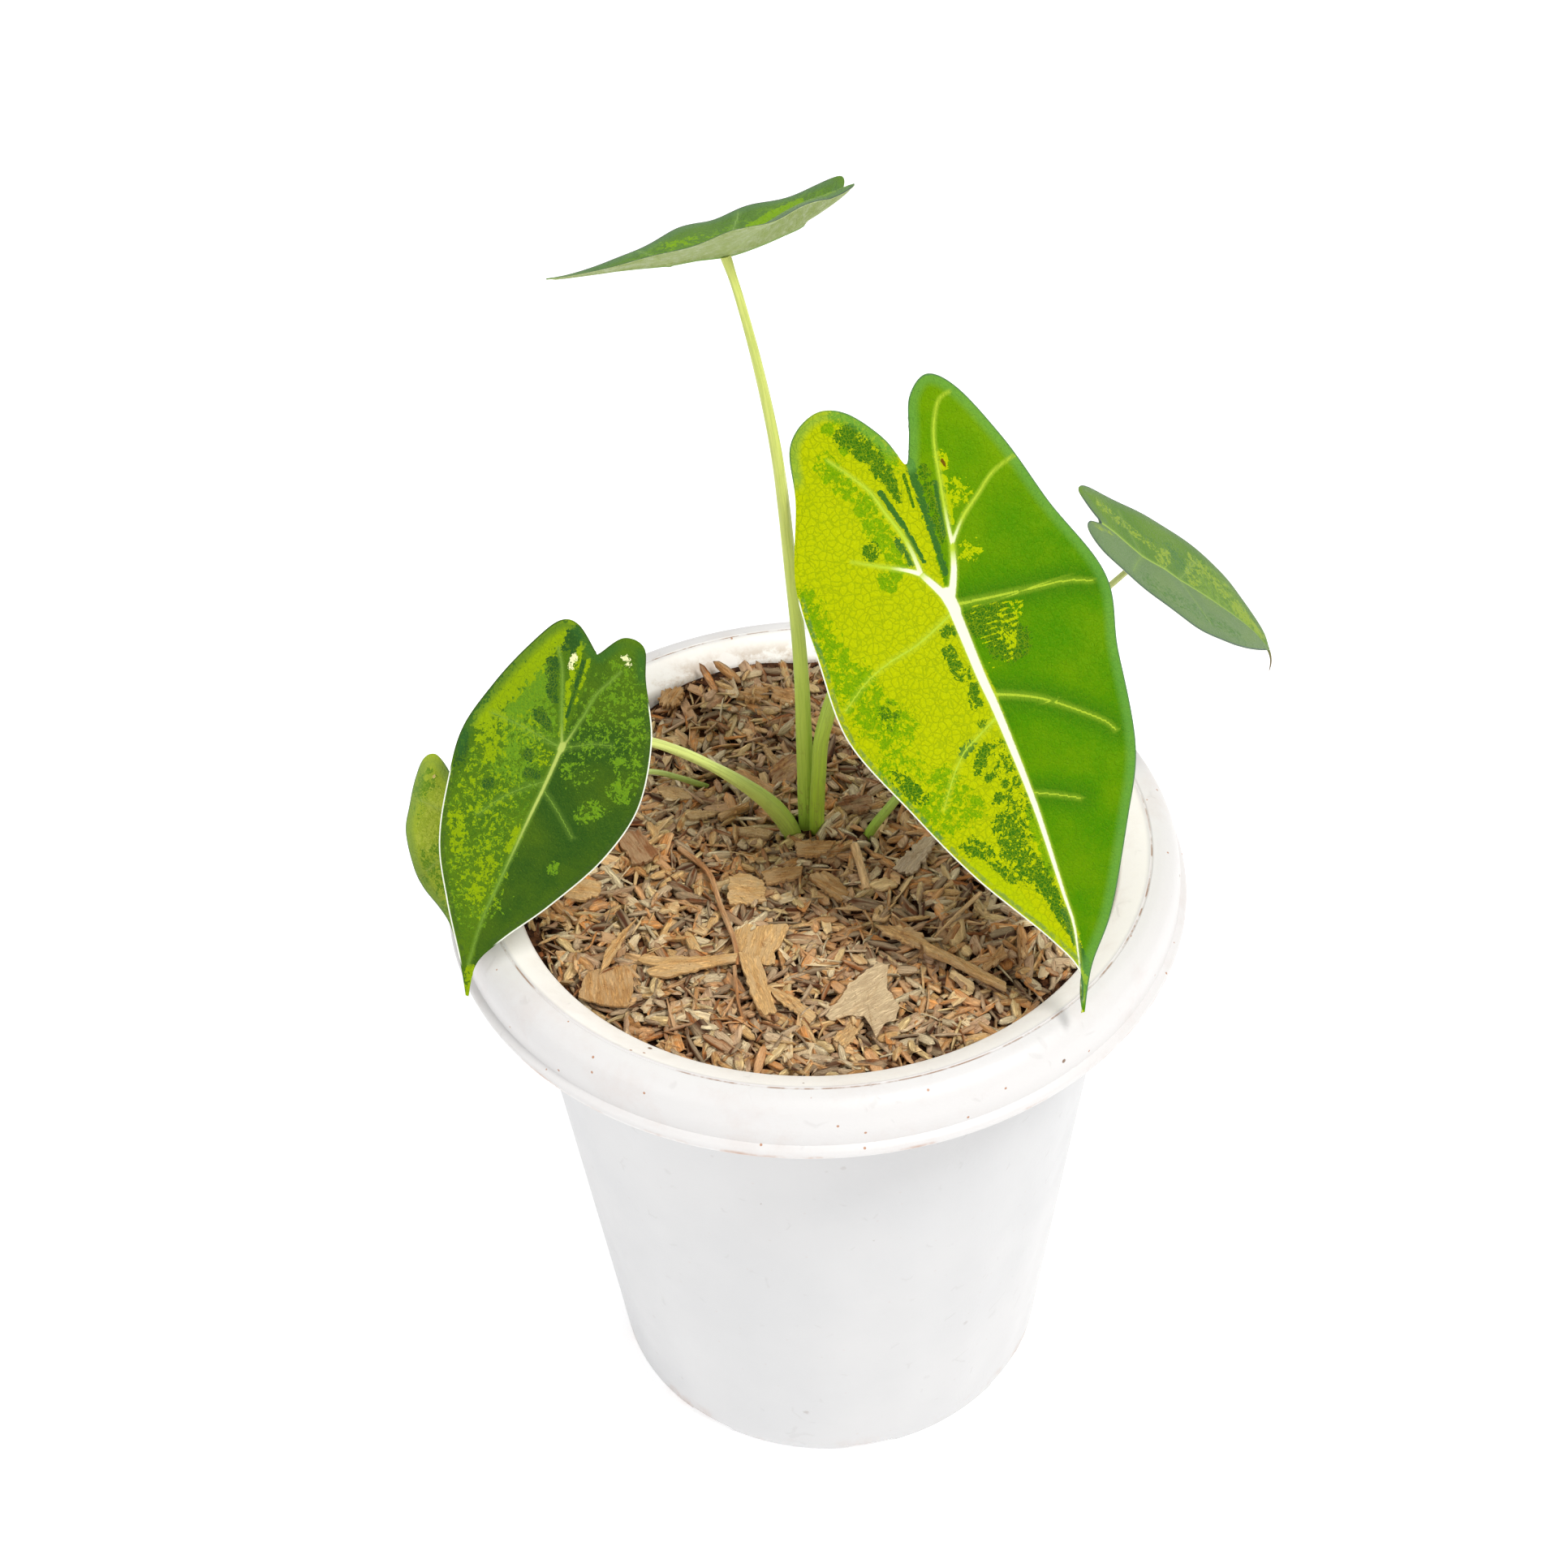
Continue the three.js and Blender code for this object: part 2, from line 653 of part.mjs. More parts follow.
const plant = new THREE.Group();
plant.add(buildPot());
plant.add(buildSoil());
for (const leaf of LEAVES) {
  const stem = stemGeometry(stemPoints(leaf), leaf.stem.radii);
  plant.add(finishedMesh(`${leaf.name}_stem`, stem, leaf.stemColour, 0.5));
  plant.add(finishedMesh(`${leaf.name}_blade`, bladeGeometry(leaf), leaf.colour, 0.4));
}

export default plant;
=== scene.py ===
"""A young variegated alocasia in a white plastic pot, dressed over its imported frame.

Everything stands in the part's own frame: +Z up, -Y to the front, and the origin at the centre
of the pot's underside. Tables give millimetres, and MM turns them into metres.
"""

import json
import logging
import math
from collections.abc import Callable, Sequence
from dataclasses import dataclass, field
from enum import Enum

import bpy
import numpy as np
from mathutils import Matrix, Vector

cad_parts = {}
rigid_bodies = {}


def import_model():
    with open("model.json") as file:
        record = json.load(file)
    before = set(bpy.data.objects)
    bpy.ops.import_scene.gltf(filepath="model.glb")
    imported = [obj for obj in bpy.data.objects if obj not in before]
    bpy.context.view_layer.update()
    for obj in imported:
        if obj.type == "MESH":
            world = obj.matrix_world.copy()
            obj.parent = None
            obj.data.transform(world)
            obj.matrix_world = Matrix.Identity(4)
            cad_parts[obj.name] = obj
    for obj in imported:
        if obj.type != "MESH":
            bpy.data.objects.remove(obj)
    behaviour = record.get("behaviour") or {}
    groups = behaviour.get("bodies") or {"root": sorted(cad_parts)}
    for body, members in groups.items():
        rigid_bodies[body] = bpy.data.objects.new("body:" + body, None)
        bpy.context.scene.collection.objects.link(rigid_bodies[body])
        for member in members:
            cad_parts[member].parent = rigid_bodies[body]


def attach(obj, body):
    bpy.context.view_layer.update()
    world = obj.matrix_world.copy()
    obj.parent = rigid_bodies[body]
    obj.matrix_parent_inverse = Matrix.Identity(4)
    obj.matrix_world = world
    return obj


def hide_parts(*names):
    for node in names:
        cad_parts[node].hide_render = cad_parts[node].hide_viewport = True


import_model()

LOG = logging.getLogger("alocasia")
MM = 0.001
TURN = 2 * math.pi

Colour = tuple[float, float, float, float]
Pair = tuple[float, float]
Triple = tuple[float, float, float]
Socket = bpy.types.NodeSocket


def tone(red: int, green: int, blue: int) -> Colour:
    """Returns the linear colour of a display colour whose channels run from 0 to 255."""
    shares = [channel / 255 for channel in (red, green, blue)]
    linear = [s / 12.92 if s <= 0.04045 else ((s + 0.055) / 1.055) ** 2.4 for s in shares]
    return (*linear, 1.0)


# ------------------------------------------------------------------ node trees


class Graph:
    """Adds nodes to one tree. Each method takes sockets or plain values and returns a socket."""

    MIX_COLOURS = (0, 6, 7, 2)  # sockets of a colour Mix: factor, first, second and result

    def __init__(self, tree: bpy.types.NodeTree) -> None:
        """Works on the given tree."""
        self.tree = tree

    def add(self, kind: str, inputs: dict | None = None, **settings: object) -> bpy.types.Node:
        """Adds one node.

        Args:
            kind: Blender's name of the node's type.
            inputs: socket names or places, each with the socket or value that feeds it.
            settings: properties of the node.

        Returns:
            The new node.
        """
        node = self.tree.nodes.new(kind)
        for name, value in settings.items():
            setattr(node, name, value)
        for key, value in (inputs or {}).items():
            self.feed(node.inputs[key], value)
        return node

    def feed(self, socket: Socket, value: object) -> None:
        """Links a socket to another one, or sets its value."""
        if isinstance(value, bpy.types.NodeSocket):
            self.tree.links.new(value, socket)
        else:
            socket.default_value = value

    def math(self, operation: str, *values: object) -> Socket:
        """Returns the result of a Math node."""
        return self.add("ShaderNodeMath", dict(enumerate(values)), operation=operation).outputs[0]

    def times(self, first: object, second: object) -> Socket:
        """Returns a product."""
        return self.math("MULTIPLY", first, second)

    def plus(self, first: object, second: object) -> Socket:
        """Returns a sum."""
        return self.math("ADD", first, second)

    def minus(self, first: object, second: object) -> Socket:
        """Returns a difference."""
        return self.math("SUBTRACT", first, second)

    def larger(self, first: object, second: object) -> Socket:
        """Returns the larger of two numbers."""
        return self.math("MAXIMUM", first, second)

    def vector(self, operation: str, *values: object) -> Socket:
        """Returns the vector of a Vector Math node, or its number for LENGTH and DISTANCE."""
        node = self.add("ShaderNodeVectorMath", dict(enumerate(values)), operation=operation)
        return node.outputs["Value" if operation in ("LENGTH", "DISTANCE") else "Vector"]

    def hypot(self, x: Socket, y: Socket) -> Socket:
        """Returns how far a place is from the Z axis."""
        return self.math("SQRT", self.plus(self.times(x, x), self.times(y, y)))

    def scaled(self, vector: Socket, factors: Triple) -> Socket:
        """Returns a vector stretched along its axes."""
        return self.vector("MULTIPLY", vector, factors)

    def step(self, value: Socket, low: object, high: object) -> Socket:
        """Returns a smooth rise from 0 at low to 1 at high; low may be the greater one."""
        inputs = {"Value": value, "From Min": low, "From Max": high}
        node = self.add("ShaderNodeMapRange", inputs, interpolation_type="SMOOTHSTEP")
        return node.outputs["Result"]

    def between(self, value: Socket, low: float, high: float, fade: float) -> Socket:
        """Returns 1 where a value lies between two limits, with soft ends."""
        rise = self.step(value, low - fade, low + fade)
        return self.times(rise, self.step(value, high + fade, high - fade))

    def blend(self, share: object, first: object, second: object, strength: float = 1.0) -> Socket:
        """Returns a mix of two colours; a strength below 1 thins the second one's share."""
        if strength < 1.0:
            share = self.times(share, strength)
        factor, a, b, result = self.MIX_COLOURS
        node = self.add("ShaderNodeMix", {factor: share, a: first, b: second}, data_type="RGBA")
        return node.outputs[result]

    def layered(self, shade: object, *layers: tuple) -> Socket:
        """Returns a colour under layers, each a mask, a colour and, if it is thin, its strength."""
        for mask, colour, *strength in layers:
            shade = self.blend(mask, shade, colour, *strength)
        return shade

    def noise(self, place: Socket, scale: object, detail: float = 3.0, roughness: float = 0.55) -> Socket:
        """Returns a noise value about 0.5."""
        inputs = {"Vector": place, "Scale": scale, "Detail": detail, "Roughness": roughness}
        return self.add("ShaderNodeTexNoise", inputs).outputs["Fac"]

    def warped(self, place: Socket, scale: float, reach: float) -> Socket:
        """Returns a place pushed about by noise, by up to half of the reach."""
        node = self.add("ShaderNodeTexNoise", {"Vector": place, "Scale": scale, "Detail": 2.0})
        centred = self.vector("SUBTRACT", node.outputs["Color"], (0.5, 0.5, 0.5))
        return self.vector("ADD", place, self.lengthened(centred, reach))

    def lengthened(self, vector: Socket, factor: object) -> Socket:
        """Returns a vector times a number."""
        node = self.add("ShaderNodeVectorMath", {0: vector, "Scale": factor}, operation="SCALE")
        return node.outputs["Vector"]

    def cells(self, place: Socket, scale: object, feature: str = "F1") -> bpy.types.Node:
        """Returns a Voronoi node."""
        inputs = {"Vector": place, "Scale": scale}
        return self.add("ShaderNodeTexVoronoi", inputs, feature=feature)

    def attribute(self, name: str, output: str = "Fac") -> Socket:
        """Returns an attribute of the piece's mesh."""
        return self.add("ShaderNodeAttribute", attribute_name=name).outputs[output]

    def parts(self, vector: Socket) -> tuple[Socket, Socket, Socket]:
        """Returns a vector's three numbers."""
        outputs = self.add("ShaderNodeSeparateXYZ", {"Vector": vector}).outputs
        return outputs[0], outputs[1], outputs[2]

    def upward(self, height: Socket) -> Socket:
        """Returns a vector along Z."""
        return self.add("ShaderNodeCombineXYZ", {"Z": height}).outputs[0]

    def position(self) -> Socket:
        """Returns the place of each point in a Geometry Nodes tree."""
        return self.add("GeometryNodeInputPosition").outputs[0]

    def stored(self, name: str, kind: str = "FLOAT") -> Socket:
        """Returns what a geometry stores under a name."""
        return self.add("GeometryNodeInputNamedAttribute", {"Name": name}, data_type=kind).outputs[0]

    def store(self, geometry: Socket, name: str, value: Socket, **settings: str) -> Socket:
        """Stores a value in a geometry and returns the geometry."""
        inputs = {"Geometry": geometry, "Name": name, "Value": value}
        return self.add("GeometryNodeStoreNamedAttribute", inputs, **settings).outputs[0]

    def moved(self, geometry: Socket, offset: Socket) -> Socket:
        """Returns a geometry with its points moved by an offset."""
        return self.add("GeometryNodeSetPosition", {"Geometry": geometry, "Offset": offset}).outputs[0]

    def finished(self, geometry: Socket, material: Socket) -> Socket:
        """Returns a geometry as one real mesh with its material: the last step of a tree."""
        real = self.add("GeometryNodeRealizeInstances", {"Geometry": geometry}).outputs[0]
        return self.add("GeometryNodeSetMaterial", {"Geometry": real, "Material": material}).outputs[0]


class Kind(Enum):
    """Socket types of a node group."""

    NUMBER = "NodeSocketFloat"
    WHOLE = "NodeSocketInt"
    COLOUR = "NodeSocketColor"
    VECTOR = "NodeSocketVector"
    GEOMETRY = "NodeSocketGeometry"
    COLLECTION = "NodeSocketCollection"
    MATERIAL = "NodeSocketMaterial"


Sockets = dict[str, Kind]


def new_group(
    name: str, tree_type: str, inputs: Sockets, outputs: Sockets
) -> tuple[Graph, Callable[[str], Socket], bpy.types.Node]:
    """Starts a node group.

    Args:
        name: the group's name.
        tree_type: ShaderNodeTree or GeometryNodeTree.
        inputs: names and kinds of the inputs.
        outputs: names and kinds of the outputs.

    Returns:
        The graph, a function that gives an input by its name, and the output node.
    """
    tree = bpy.data.node_groups.new(name, tree_type)
    for title, kind in inputs.items():
        tree.interface.new_socket(name=title, in_out="INPUT", socket_type=kind.value)
    for title, kind in outputs.items():
        tree.interface.new_socket(name=title, in_out="OUTPUT", socket_type=kind.value)
    graph = Graph(tree)
    entry = graph.add("NodeGroupInput")
    return graph, lambda title: entry.outputs[title], graph.add("NodeGroupOutput")


def placed_group(graph: Graph, name: str, inputs: dict[str, object]) -> bpy.types.Node:
    """Places a shader node group in a material and feeds it.

    Args:
        graph: the material's graph.
        name: the group's name.
        inputs: the group's inputs by name.

    Returns:
        The group's node.
    """
    node = graph.add("ShaderNodeGroup", node_tree=bpy.data.node_groups[name])
    for title, value in inputs.items():
        graph.feed(node.inputs[title], value)
    return node


def new_material(
    name: str, gloss: dict[str, object]
) -> tuple[bpy.types.Material, Graph, bpy.types.Node]:
    """Starts a material.

    Args:
        name: the material's name.
        gloss: constants for the sockets of its Principled shader.

    Returns:
        The material, its graph and its Principled shader.
    """
    material = bpy.data.materials.new(name)
    material.use_nodes = True
    graph = Graph(material.node_tree)
    shader = material.node_tree.nodes["Principled BSDF"]
    for title, value in gloss.items():
        shader.inputs[title].default_value = value
    return material, graph, shader


def dress(graph: Graph, shader: bpy.types.Node, height: Socket, depth: float, **looks: Socket) -> None:
    """Feeds a shader its looks and a bump.

    Args:
        graph: the material's graph.
        shader: its Principled shader.
        height: the bump's height, from 0 to 1.
        depth: the depth of that height in metres.
        looks: what feeds the shader's colour and roughness, by the names colour and roughness.
    """
    sockets = {"colour": "Base Color", "roughness": "Roughness"}
    for title, value in looks.items():
        graph.feed(shader.inputs[sockets[title]], value)
    bump = graph.add("ShaderNodeBump", {"Height": height, "Distance": depth, "Strength": 1.0})
    graph.feed(shader.inputs["Normal"], bump.outputs["Normal"])


# ------------------------------------------------------------------ meshes and curves


def mesh_of(name: str, points: np.ndarray, faces: Sequence[np.ndarray]) -> bpy.types.Mesh:
    """Makes a closed mesh whose faces point outwards.

    Args:
        name: the mesh's name.
        points: places of the vertices, in metres.
        faces: arrays of faces, each with one number of corners.

    Returns:
        The mesh.
    """
    mesh = bpy.data.meshes.new(name)
    corners = np.concatenate([part.ravel() for part in faces]).astype(np.int32)
    sides = np.concatenate([np.full(len(part), part.shape[1]) for part in faces])
    starts = np.concatenate([[0], np.cumsum(sides)[:-1]]).astype(np.int32)
    mesh.vertices.add(len(points))
    mesh.vertices.foreach_set("co", np.asarray(points, np.float32).ravel())
    mesh.loops.add(len(corners))
    mesh.loops.foreach_set("vertex_index", corners)
    mesh.polygons.add(len(sides))
    mesh.polygons.foreach_set("loop_start", starts)
    mesh.update(calc_edges=True)
    mesh.validate()
    if enclosed_volume(mesh) < 0:
        mesh.flip_normals()
    return mesh


def turned_faces(rows: int, count: int) -> list[np.ndarray]:
    """Returns the faces of a turned body.

    Args:
        rows: how many rings of points it has, from the lowest in its section to the last.
        count: how many points each ring has.

    Returns:
        Its quads, and its triangles about the two middle points that follow the rings.
    """
    i, j = np.meshgrid(np.arange(rows - 1), np.arange(count), indexing="ij")
    a, b = i * count + j, i * count + (j + 1) % count
    quads = np.stack([a, b, b + count, a + count], axis=2).reshape(-1, 4)
    ring, first, last = np.arange(count), rows * count, (rows - 1) * count
    after = (ring + 1) % count
    low = np.column_stack([np.full(count, first), after, ring])
    high = np.column_stack([np.full(count, first + 1), last + ring, last + after])
    return [quads, np.vstack([low, high])]


def enclosed_volume(mesh: bpy.types.Mesh) -> float:
    """Returns a closed mesh's volume, which is negative if its faces point inwards."""
    mesh.calc_loop_triangles()
    places = np.empty(3 * len(mesh.vertices))
    mesh.vertices.foreach_get("co", places)
    index = np.empty(3 * len(mesh.loop_triangles), np.int32)
    mesh.loop_triangles.foreach_get("vertices", index)
    a, b, c = places.reshape(-1, 3)[index].reshape(-1, 3, 3).transpose(1, 0, 2)
    return float(np.einsum("ij,ij->i", a, np.cross(b, c)).sum() / 6)


def smooth(mesh: bpy.types.Mesh, sharp_angle: float | None = None) -> None:
    """Shades a mesh smooth, except at edges sharper than an angle in degrees."""
    mesh.polygons.foreach_set("use_smooth", np.ones(len(mesh.polygons), bool))
    if sharp_angle is not None:
        mesh.set_sharp_from_angle(angle=math.radians(sharp_angle))


def keep_numbers(mesh: bpy.types.Mesh, name: str, values: np.ndarray) -> None:
    """Stores a number or a vector for each vertex."""
    is_vector = values.ndim == 2
    kind, key = ("FLOAT_VECTOR", "vector") if is_vector else ("FLOAT", "value")
    layer = mesh.attributes.new(name, kind, "POINT")
    layer.data.foreach_set(key, np.asarray(values, np.float32).ravel())


def new_object(name: str, data: bpy.types.ID) -> bpy.types.Object:
    """Makes an object at the origin and links it to the scene."""
    thing = bpy.data.objects.new(name, data)
    bpy.context.scene.collection.objects.link(thing)
    return thing


def triangle_count(mesh: bpy.types.Mesh) -> int:
    """Returns how many triangles a mesh has."""
    return sum(len(polygon.vertices) - 2 for polygon in mesh.polygons)


def register(piece: bpy.types.Object, slot: str, *nodes: str) -> None:
    """Ties a finished piece to the frame and reports it.

    Args:
        piece: the object.
        slot: a material slot of the record; not used.
        nodes: the frame's nodes that it stands for.
    """
    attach(piece, "root")
    if nodes:
        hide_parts(*nodes)
    LOG.info("%-24s %7d triangles", piece.name, triangle_count(piece.data))


def evaluated_copy(name: str, carrier: bpy.types.Object) -> bpy.types.Object:
    """Turns what an object's modifiers make into a plain object.

    Args:
        name: the new object's name.
        carrier: the object with the modifiers, which is removed.

    Returns:
        The plain object.
    """
    graph = bpy.context.evaluated_depsgraph_get()
    source = carrier.evaluated_get(graph)
    mesh = bpy.data.meshes.new_from_object(source, preserve_all_data_layers=True, depsgraph=graph)
    mesh.name = name
    bpy.data.objects.remove(carrier)
    return new_object(name, mesh)


def run_tree(
    name: str, data: bpy.types.ID, tree: bpy.types.NodeTree, inputs: dict[str, object]
) -> bpy.types.Object:
    """Runs a Geometry Nodes tree on a mesh or curve.

    Args:
        name: the finished object's name.
        data: the mesh or curve that the tree starts from.
        tree: the tree.
        inputs: values for the tree's inputs by name.

    Returns:
        The finished plain object.
    """
    carrier = new_object(f"{name}_carrier", data)
    modifier = carrier.modifiers.new(name, "NODES")
    modifier.node_group = tree
    for item in tree.interface.items_tree:
        if item.in_out == "INPUT" and item.name in inputs:
            modifier[item.identifier] = inputs[item.name]
    carrier.update_tag()
    return evaluated_copy(name, carrier)


def spline_points(points: np.ndarray, count: int, centripetal: bool = False) -> np.ndarray:
    """Samples a smooth curve through points, evenly by length.

    Args:
        points: the points, one a row.
        count: how many samples.
        centripetal: whether the curve is a centripetal one rather than a uniform one.

    Returns:
        The samples.
    """
    steps = 24
    first, last = 2 * points[0] - points[1], 2 * points[-1] - points[-2]
    ends = (first, last) if centripetal else (points[0], points[-1])
    padded = np.vstack([ends[0], points, ends[1]])
    pieces = []
    for i in range(1, len(padded) - 2):
        p0, p1, p2, p3 = padded[i - 1 : i + 3]
        if centripetal:
            gaps = [max(np.linalg.norm(b - a), 1e-6) ** 0.5 for a, b in ((p0, p1), (p1, p2), (p2, p3))]
            d0, d1, d2 = gaps
            m1 = ((p1 - p0) / d0 - (p2 - p0) / (d0 + d1) + (p2 - p1) / d1) * d1
            m2 = ((p2 - p1) / d1 - (p3 - p1) / (d1 + d2) + (p3 - p2) / d2) * d1
        else:
            m1, m2 = (p2 - p0) / 2, (p3 - p1) / 2
        t = np.linspace(0, 1, steps, endpoint=False)[:, None]
        pieces.append(
            (2 * p1 - 2 * p2 + m1 + m2) * t**3 + (-3 * p1 + 3 * p2 - 2 * m1 - m2) * t**2 + m1 * t + p1
        )
    line = np.vstack([*pieces, points[-1:]])
    length = np.concatenate([[0], np.cumsum(np.linalg.norm(np.diff(line, axis=0), axis=1))])
    wanted = np.linspace(0, length[-1], count)
    return np.stack([np.interp(wanted, length, line[:, k]) for k in range(line.shape[1])], axis=1)


def distance_to_line(places: np.ndarray, line: np.ndarray) -> tuple[np.ndarray, np.ndarray]:
    """Measures how far flat places lie from a line of points.

    Args:
        places: the places, one a row.
        line: the line's points.

    Returns:
        The distances, and how far along the line each nearest point lies, from 0 to 1.
    """
    best = np.full(len(places), 1e9)
    share = np.zeros(len(places))
    pieces = len(line) - 1
    for k in range(pieces):
        a, b = line[k], line[k + 1]
        along = b - a
        t = np.clip((places - a) @ along / max(along @ along, 1e-12), 0, 1)
        gap = np.linalg.norm(places - a - t[:, None] * along, axis=1)
        nearer = gap < best
        best[nearer] = gap[nearer]
        share[nearer] = ((k + t) / pieces)[nearer]
    return best, share


# ------------------------------------------------------------------ camera and studio


@dataclass(frozen=True)
class StudioCamera:
    """A camera that looks down at the plant from the front."""

    place: Triple = (0.0, -0.62518, 0.77918)
    right: Triple = (0.99942, -0.01470, -0.03061)
    up: Triple = (0.03258, 0.66962, 0.74199)
    forward: Triple = (-0.00959, 0.74256, -0.66971)
    lens: float = 70.56
    sensor: float = 36.0

    def build(self) -> None:
        """Makes the camera and gives it to the scene."""
        data = bpy.data.cameras.new("studio_camera")
        data.lens, data.sensor_width = self.lens, self.sensor
        data.clip_start, data.clip_end = 0.02, 20.0
        camera = new_object("studio_camera", data)
        axes = Matrix([self.right, self.up, [-part for part in self.forward]]).transposed()
        camera.matrix_world = Matrix.Translation(self.place) @ axes.to_4x4()
        bpy.context.scene.camera = camera


@dataclass(frozen=True)
class SoftLight:
    """A large square light."""

    name: str
    place: Triple
    side: float
    power: float
    colour: Triple = (1.0, 1.0, 1.0)


@dataclass
class Studio:
    """A plain pale floor and soft light from all round."""

    floor_side: float = 12.0
    floor_tone: Colour = (0.9, 0.9, 0.9, 1.0)
    floor_glow: float = 0.45
    sky: float = 0.54
    aim: Triple = (0.0, 0.0, 0.2)
    lights: tuple[SoftLight, ...] = (
        SoftLight("key_light", (0.8, -0.7, 1.95), 0.45, 30.0, (1.0, 0.99, 0.97)),
        SoftLight("fill_light", (-1.4, -0.9, 1.1), 1.2, 7.0, (0.98, 0.99, 1.0)),
        SoftLight("rear_light", (-0.2, 1.1, 1.9), 1.0, 5.0),
    )

    def build(self) -> None:
        """Makes the floor, the lights and the sky."""
        self.build_floor()
        for light in self.lights:
            self.build_light(light)
        scene = bpy.context.scene
        scene.view_settings.view_transform = "Standard"
        world = bpy.data.worlds.new("studio_sky")
        world.use_nodes = True
        background = world.node_tree.nodes["Background"]
        background.inputs["Color"].default_value = (1.0, 1.0, 1.0, 1.0)
        background.inputs["Strength"].default_value = self.sky
        scene.world = world

    def build_floor(self) -> None:
        """Makes the floor."""
        half = self.floor_side / 2
        mesh = bpy.data.meshes.new("floor")
        corners = [(-half, -half, 0), (half, -half, 0), (half, half, 0), (-half, half, 0)]
        mesh.from_pydata(corners, [], [(0, 1, 2, 3)])
        floor = new_object("floor", mesh)
        glow = {"Emission Color": self.floor_tone, "Emission Strength": self.floor_glow}
        material, graph, shader = new_material("floor_paper", {"Roughness": 0.9} | glow)
        place = graph.add("ShaderNodeTexCoord").outputs["Object"]
        grain = graph.noise(place, 40.0)
        shade = graph.blend(grain, self.floor_tone, (0.92, 0.92, 0.92, 1.0))
        graph.feed(shader.inputs["Base Color"], shade)
        mesh.materials.append(material)

    def build_light(self, light: SoftLight) -> None:
        """Makes one light, turned towards the plant."""
        data = bpy.data.lights.new(light.name, "AREA")
        data.size, data.energy, data.color = light.side, light.power, light.colour
        lamp = new_object(light.name, data)
        lamp.location = light.place
        aim = Vector(self.aim) - Vector(light.place)
        lamp.rotation_mode = "QUATERNION"
        lamp.rotation_quaternion = aim.to_track_quat("-Z", "Y")


# ------------------------------------------------------------------ rods


@dataclass(frozen=True)
class SweptTube:
    """A rod along a smooth path: its points and radii, in millimetres.

    Its ridge is the depth of its uneven sides, and its flare widens its far end.
    """

    points: tuple[Triple, ...]
    radii: tuple[float, ...]
    sides: int = 32
    samples: int = 120
    ridge: float = 0.4
    flare: float = 0.0

    def path(self) -> bpy.types.Curve:
        """Returns the rod's path, with a radius at each point."""
        line = spline_points(np.array(self.points), self.samples, centripetal=True)
        share = np.linspace(0, 1, self.samples)
        radius = np.interp(share, np.linspace(0, 1, len(self.radii)), self.radii)
        radius = radius * (1 + self.flare * np.exp(-(((1 - share) / 0.018) ** 2)))
        data = bpy.data.curves.new("rod_path", "CURVE")
        data.dimensions = "3D"
        spline = data.splines.new("POLY")
        spline.points.add(self.samples - 1)
        spline.points.foreach_set("co", np.hstack([line * MM, np.ones((self.samples, 1))]).ravel())
        spline.points.foreach_set("radius", radius * MM)
        return data

    def tree(self) -> bpy.types.NodeTree:
        """Returns the Geometry Nodes tree that sweeps an uneven circle along a path."""
        name = "swept_rod"
        if name in bpy.data.node_groups:
            return bpy.data.node_groups[name]
        inputs = {"Path": Kind.GEOMETRY, "Sides": Kind.WHOLE, "Ridge": Kind.NUMBER, "Finish": Kind.MATERIAL}
        graph, given, result = new_group(name, "GeometryNodeTree", inputs, {"Rod": Kind.GEOMETRY})
        factor = graph.add("GeometryNodeSplineParameter").outputs["Factor"]
        path = graph.store(given("Path"), "along", factor, data_type="FLOAT")
        size = {"Resolution": given("Sides"), "Radius": 1.0}
        circle = graph.add("GeometryNodeCurvePrimitiveCircle", size, mode="RADIUS").outputs[0]
        ring = graph.store(circle, "ring", graph.position(), data_type="FLOAT_VECTOR")
        radius = graph.add("GeometryNodeInputRadius").outputs[0]
        sweep = {"Curve": path, "Profile Curve": ring, "Scale": radius, "Fill Caps": True}
        tube = graph.add("GeometryNodeCurveToMesh", sweep).outputs[0]
        around, share = graph.stored("ring", "FLOAT_VECTOR"), graph.stored("along")
        lift = graph.upward(graph.times(share, 1.5))
        ridges = graph.noise(graph.vector("ADD", around, lift), 2.6, 2.0)
        depth = graph.times(graph.minus(ridges, 0.5), given("Ridge"))
        normal = graph.add("GeometryNodeInputNormal").outputs[0]
        ribbed = graph.moved(tube, graph.lengthened(normal, depth))
        graph.feed(result.inputs["Rod"], graph.finished(ribbed, given("Finish")))
        return graph.tree

    def build(self, name: str, material: bpy.types.Material) -> bpy.types.Object:
        """Makes the rod as a plain mesh with its normals outwards."""
        inputs = {"Sides": self.sides, "Ridge": self.ridge * MM, "Finish": material}
        rod = run_tree(name, self.path(), self.tree(), inputs)
        if enclosed_volume(rod.data) < 0:
            rod.data.flip_normals()
        smooth(rod.data, 50)
        return rod


# ------------------------------------------------------------------ shared shader groups


class Effect(Enum):
    """Shader node groups that more than one material uses."""

    SPECKS = "specks"
    FIBRES = "fibres"
    LEAF_SURFACE = "leaf_surface"
    WEATHERING = "weathering"


BLADE_COLOURS = (
    "Left", "Right", "Light", "Middle", "Deep", "Teal", "Fleck", "Net", "Rib", "Vein",
    "Pale Edge", "Dark Edge", "Band", "Underside",
)
BLADE_NUMBERS = ("Net Share", "Vein Width", "Vein Shade", "Mottle", "Mottle Scale")


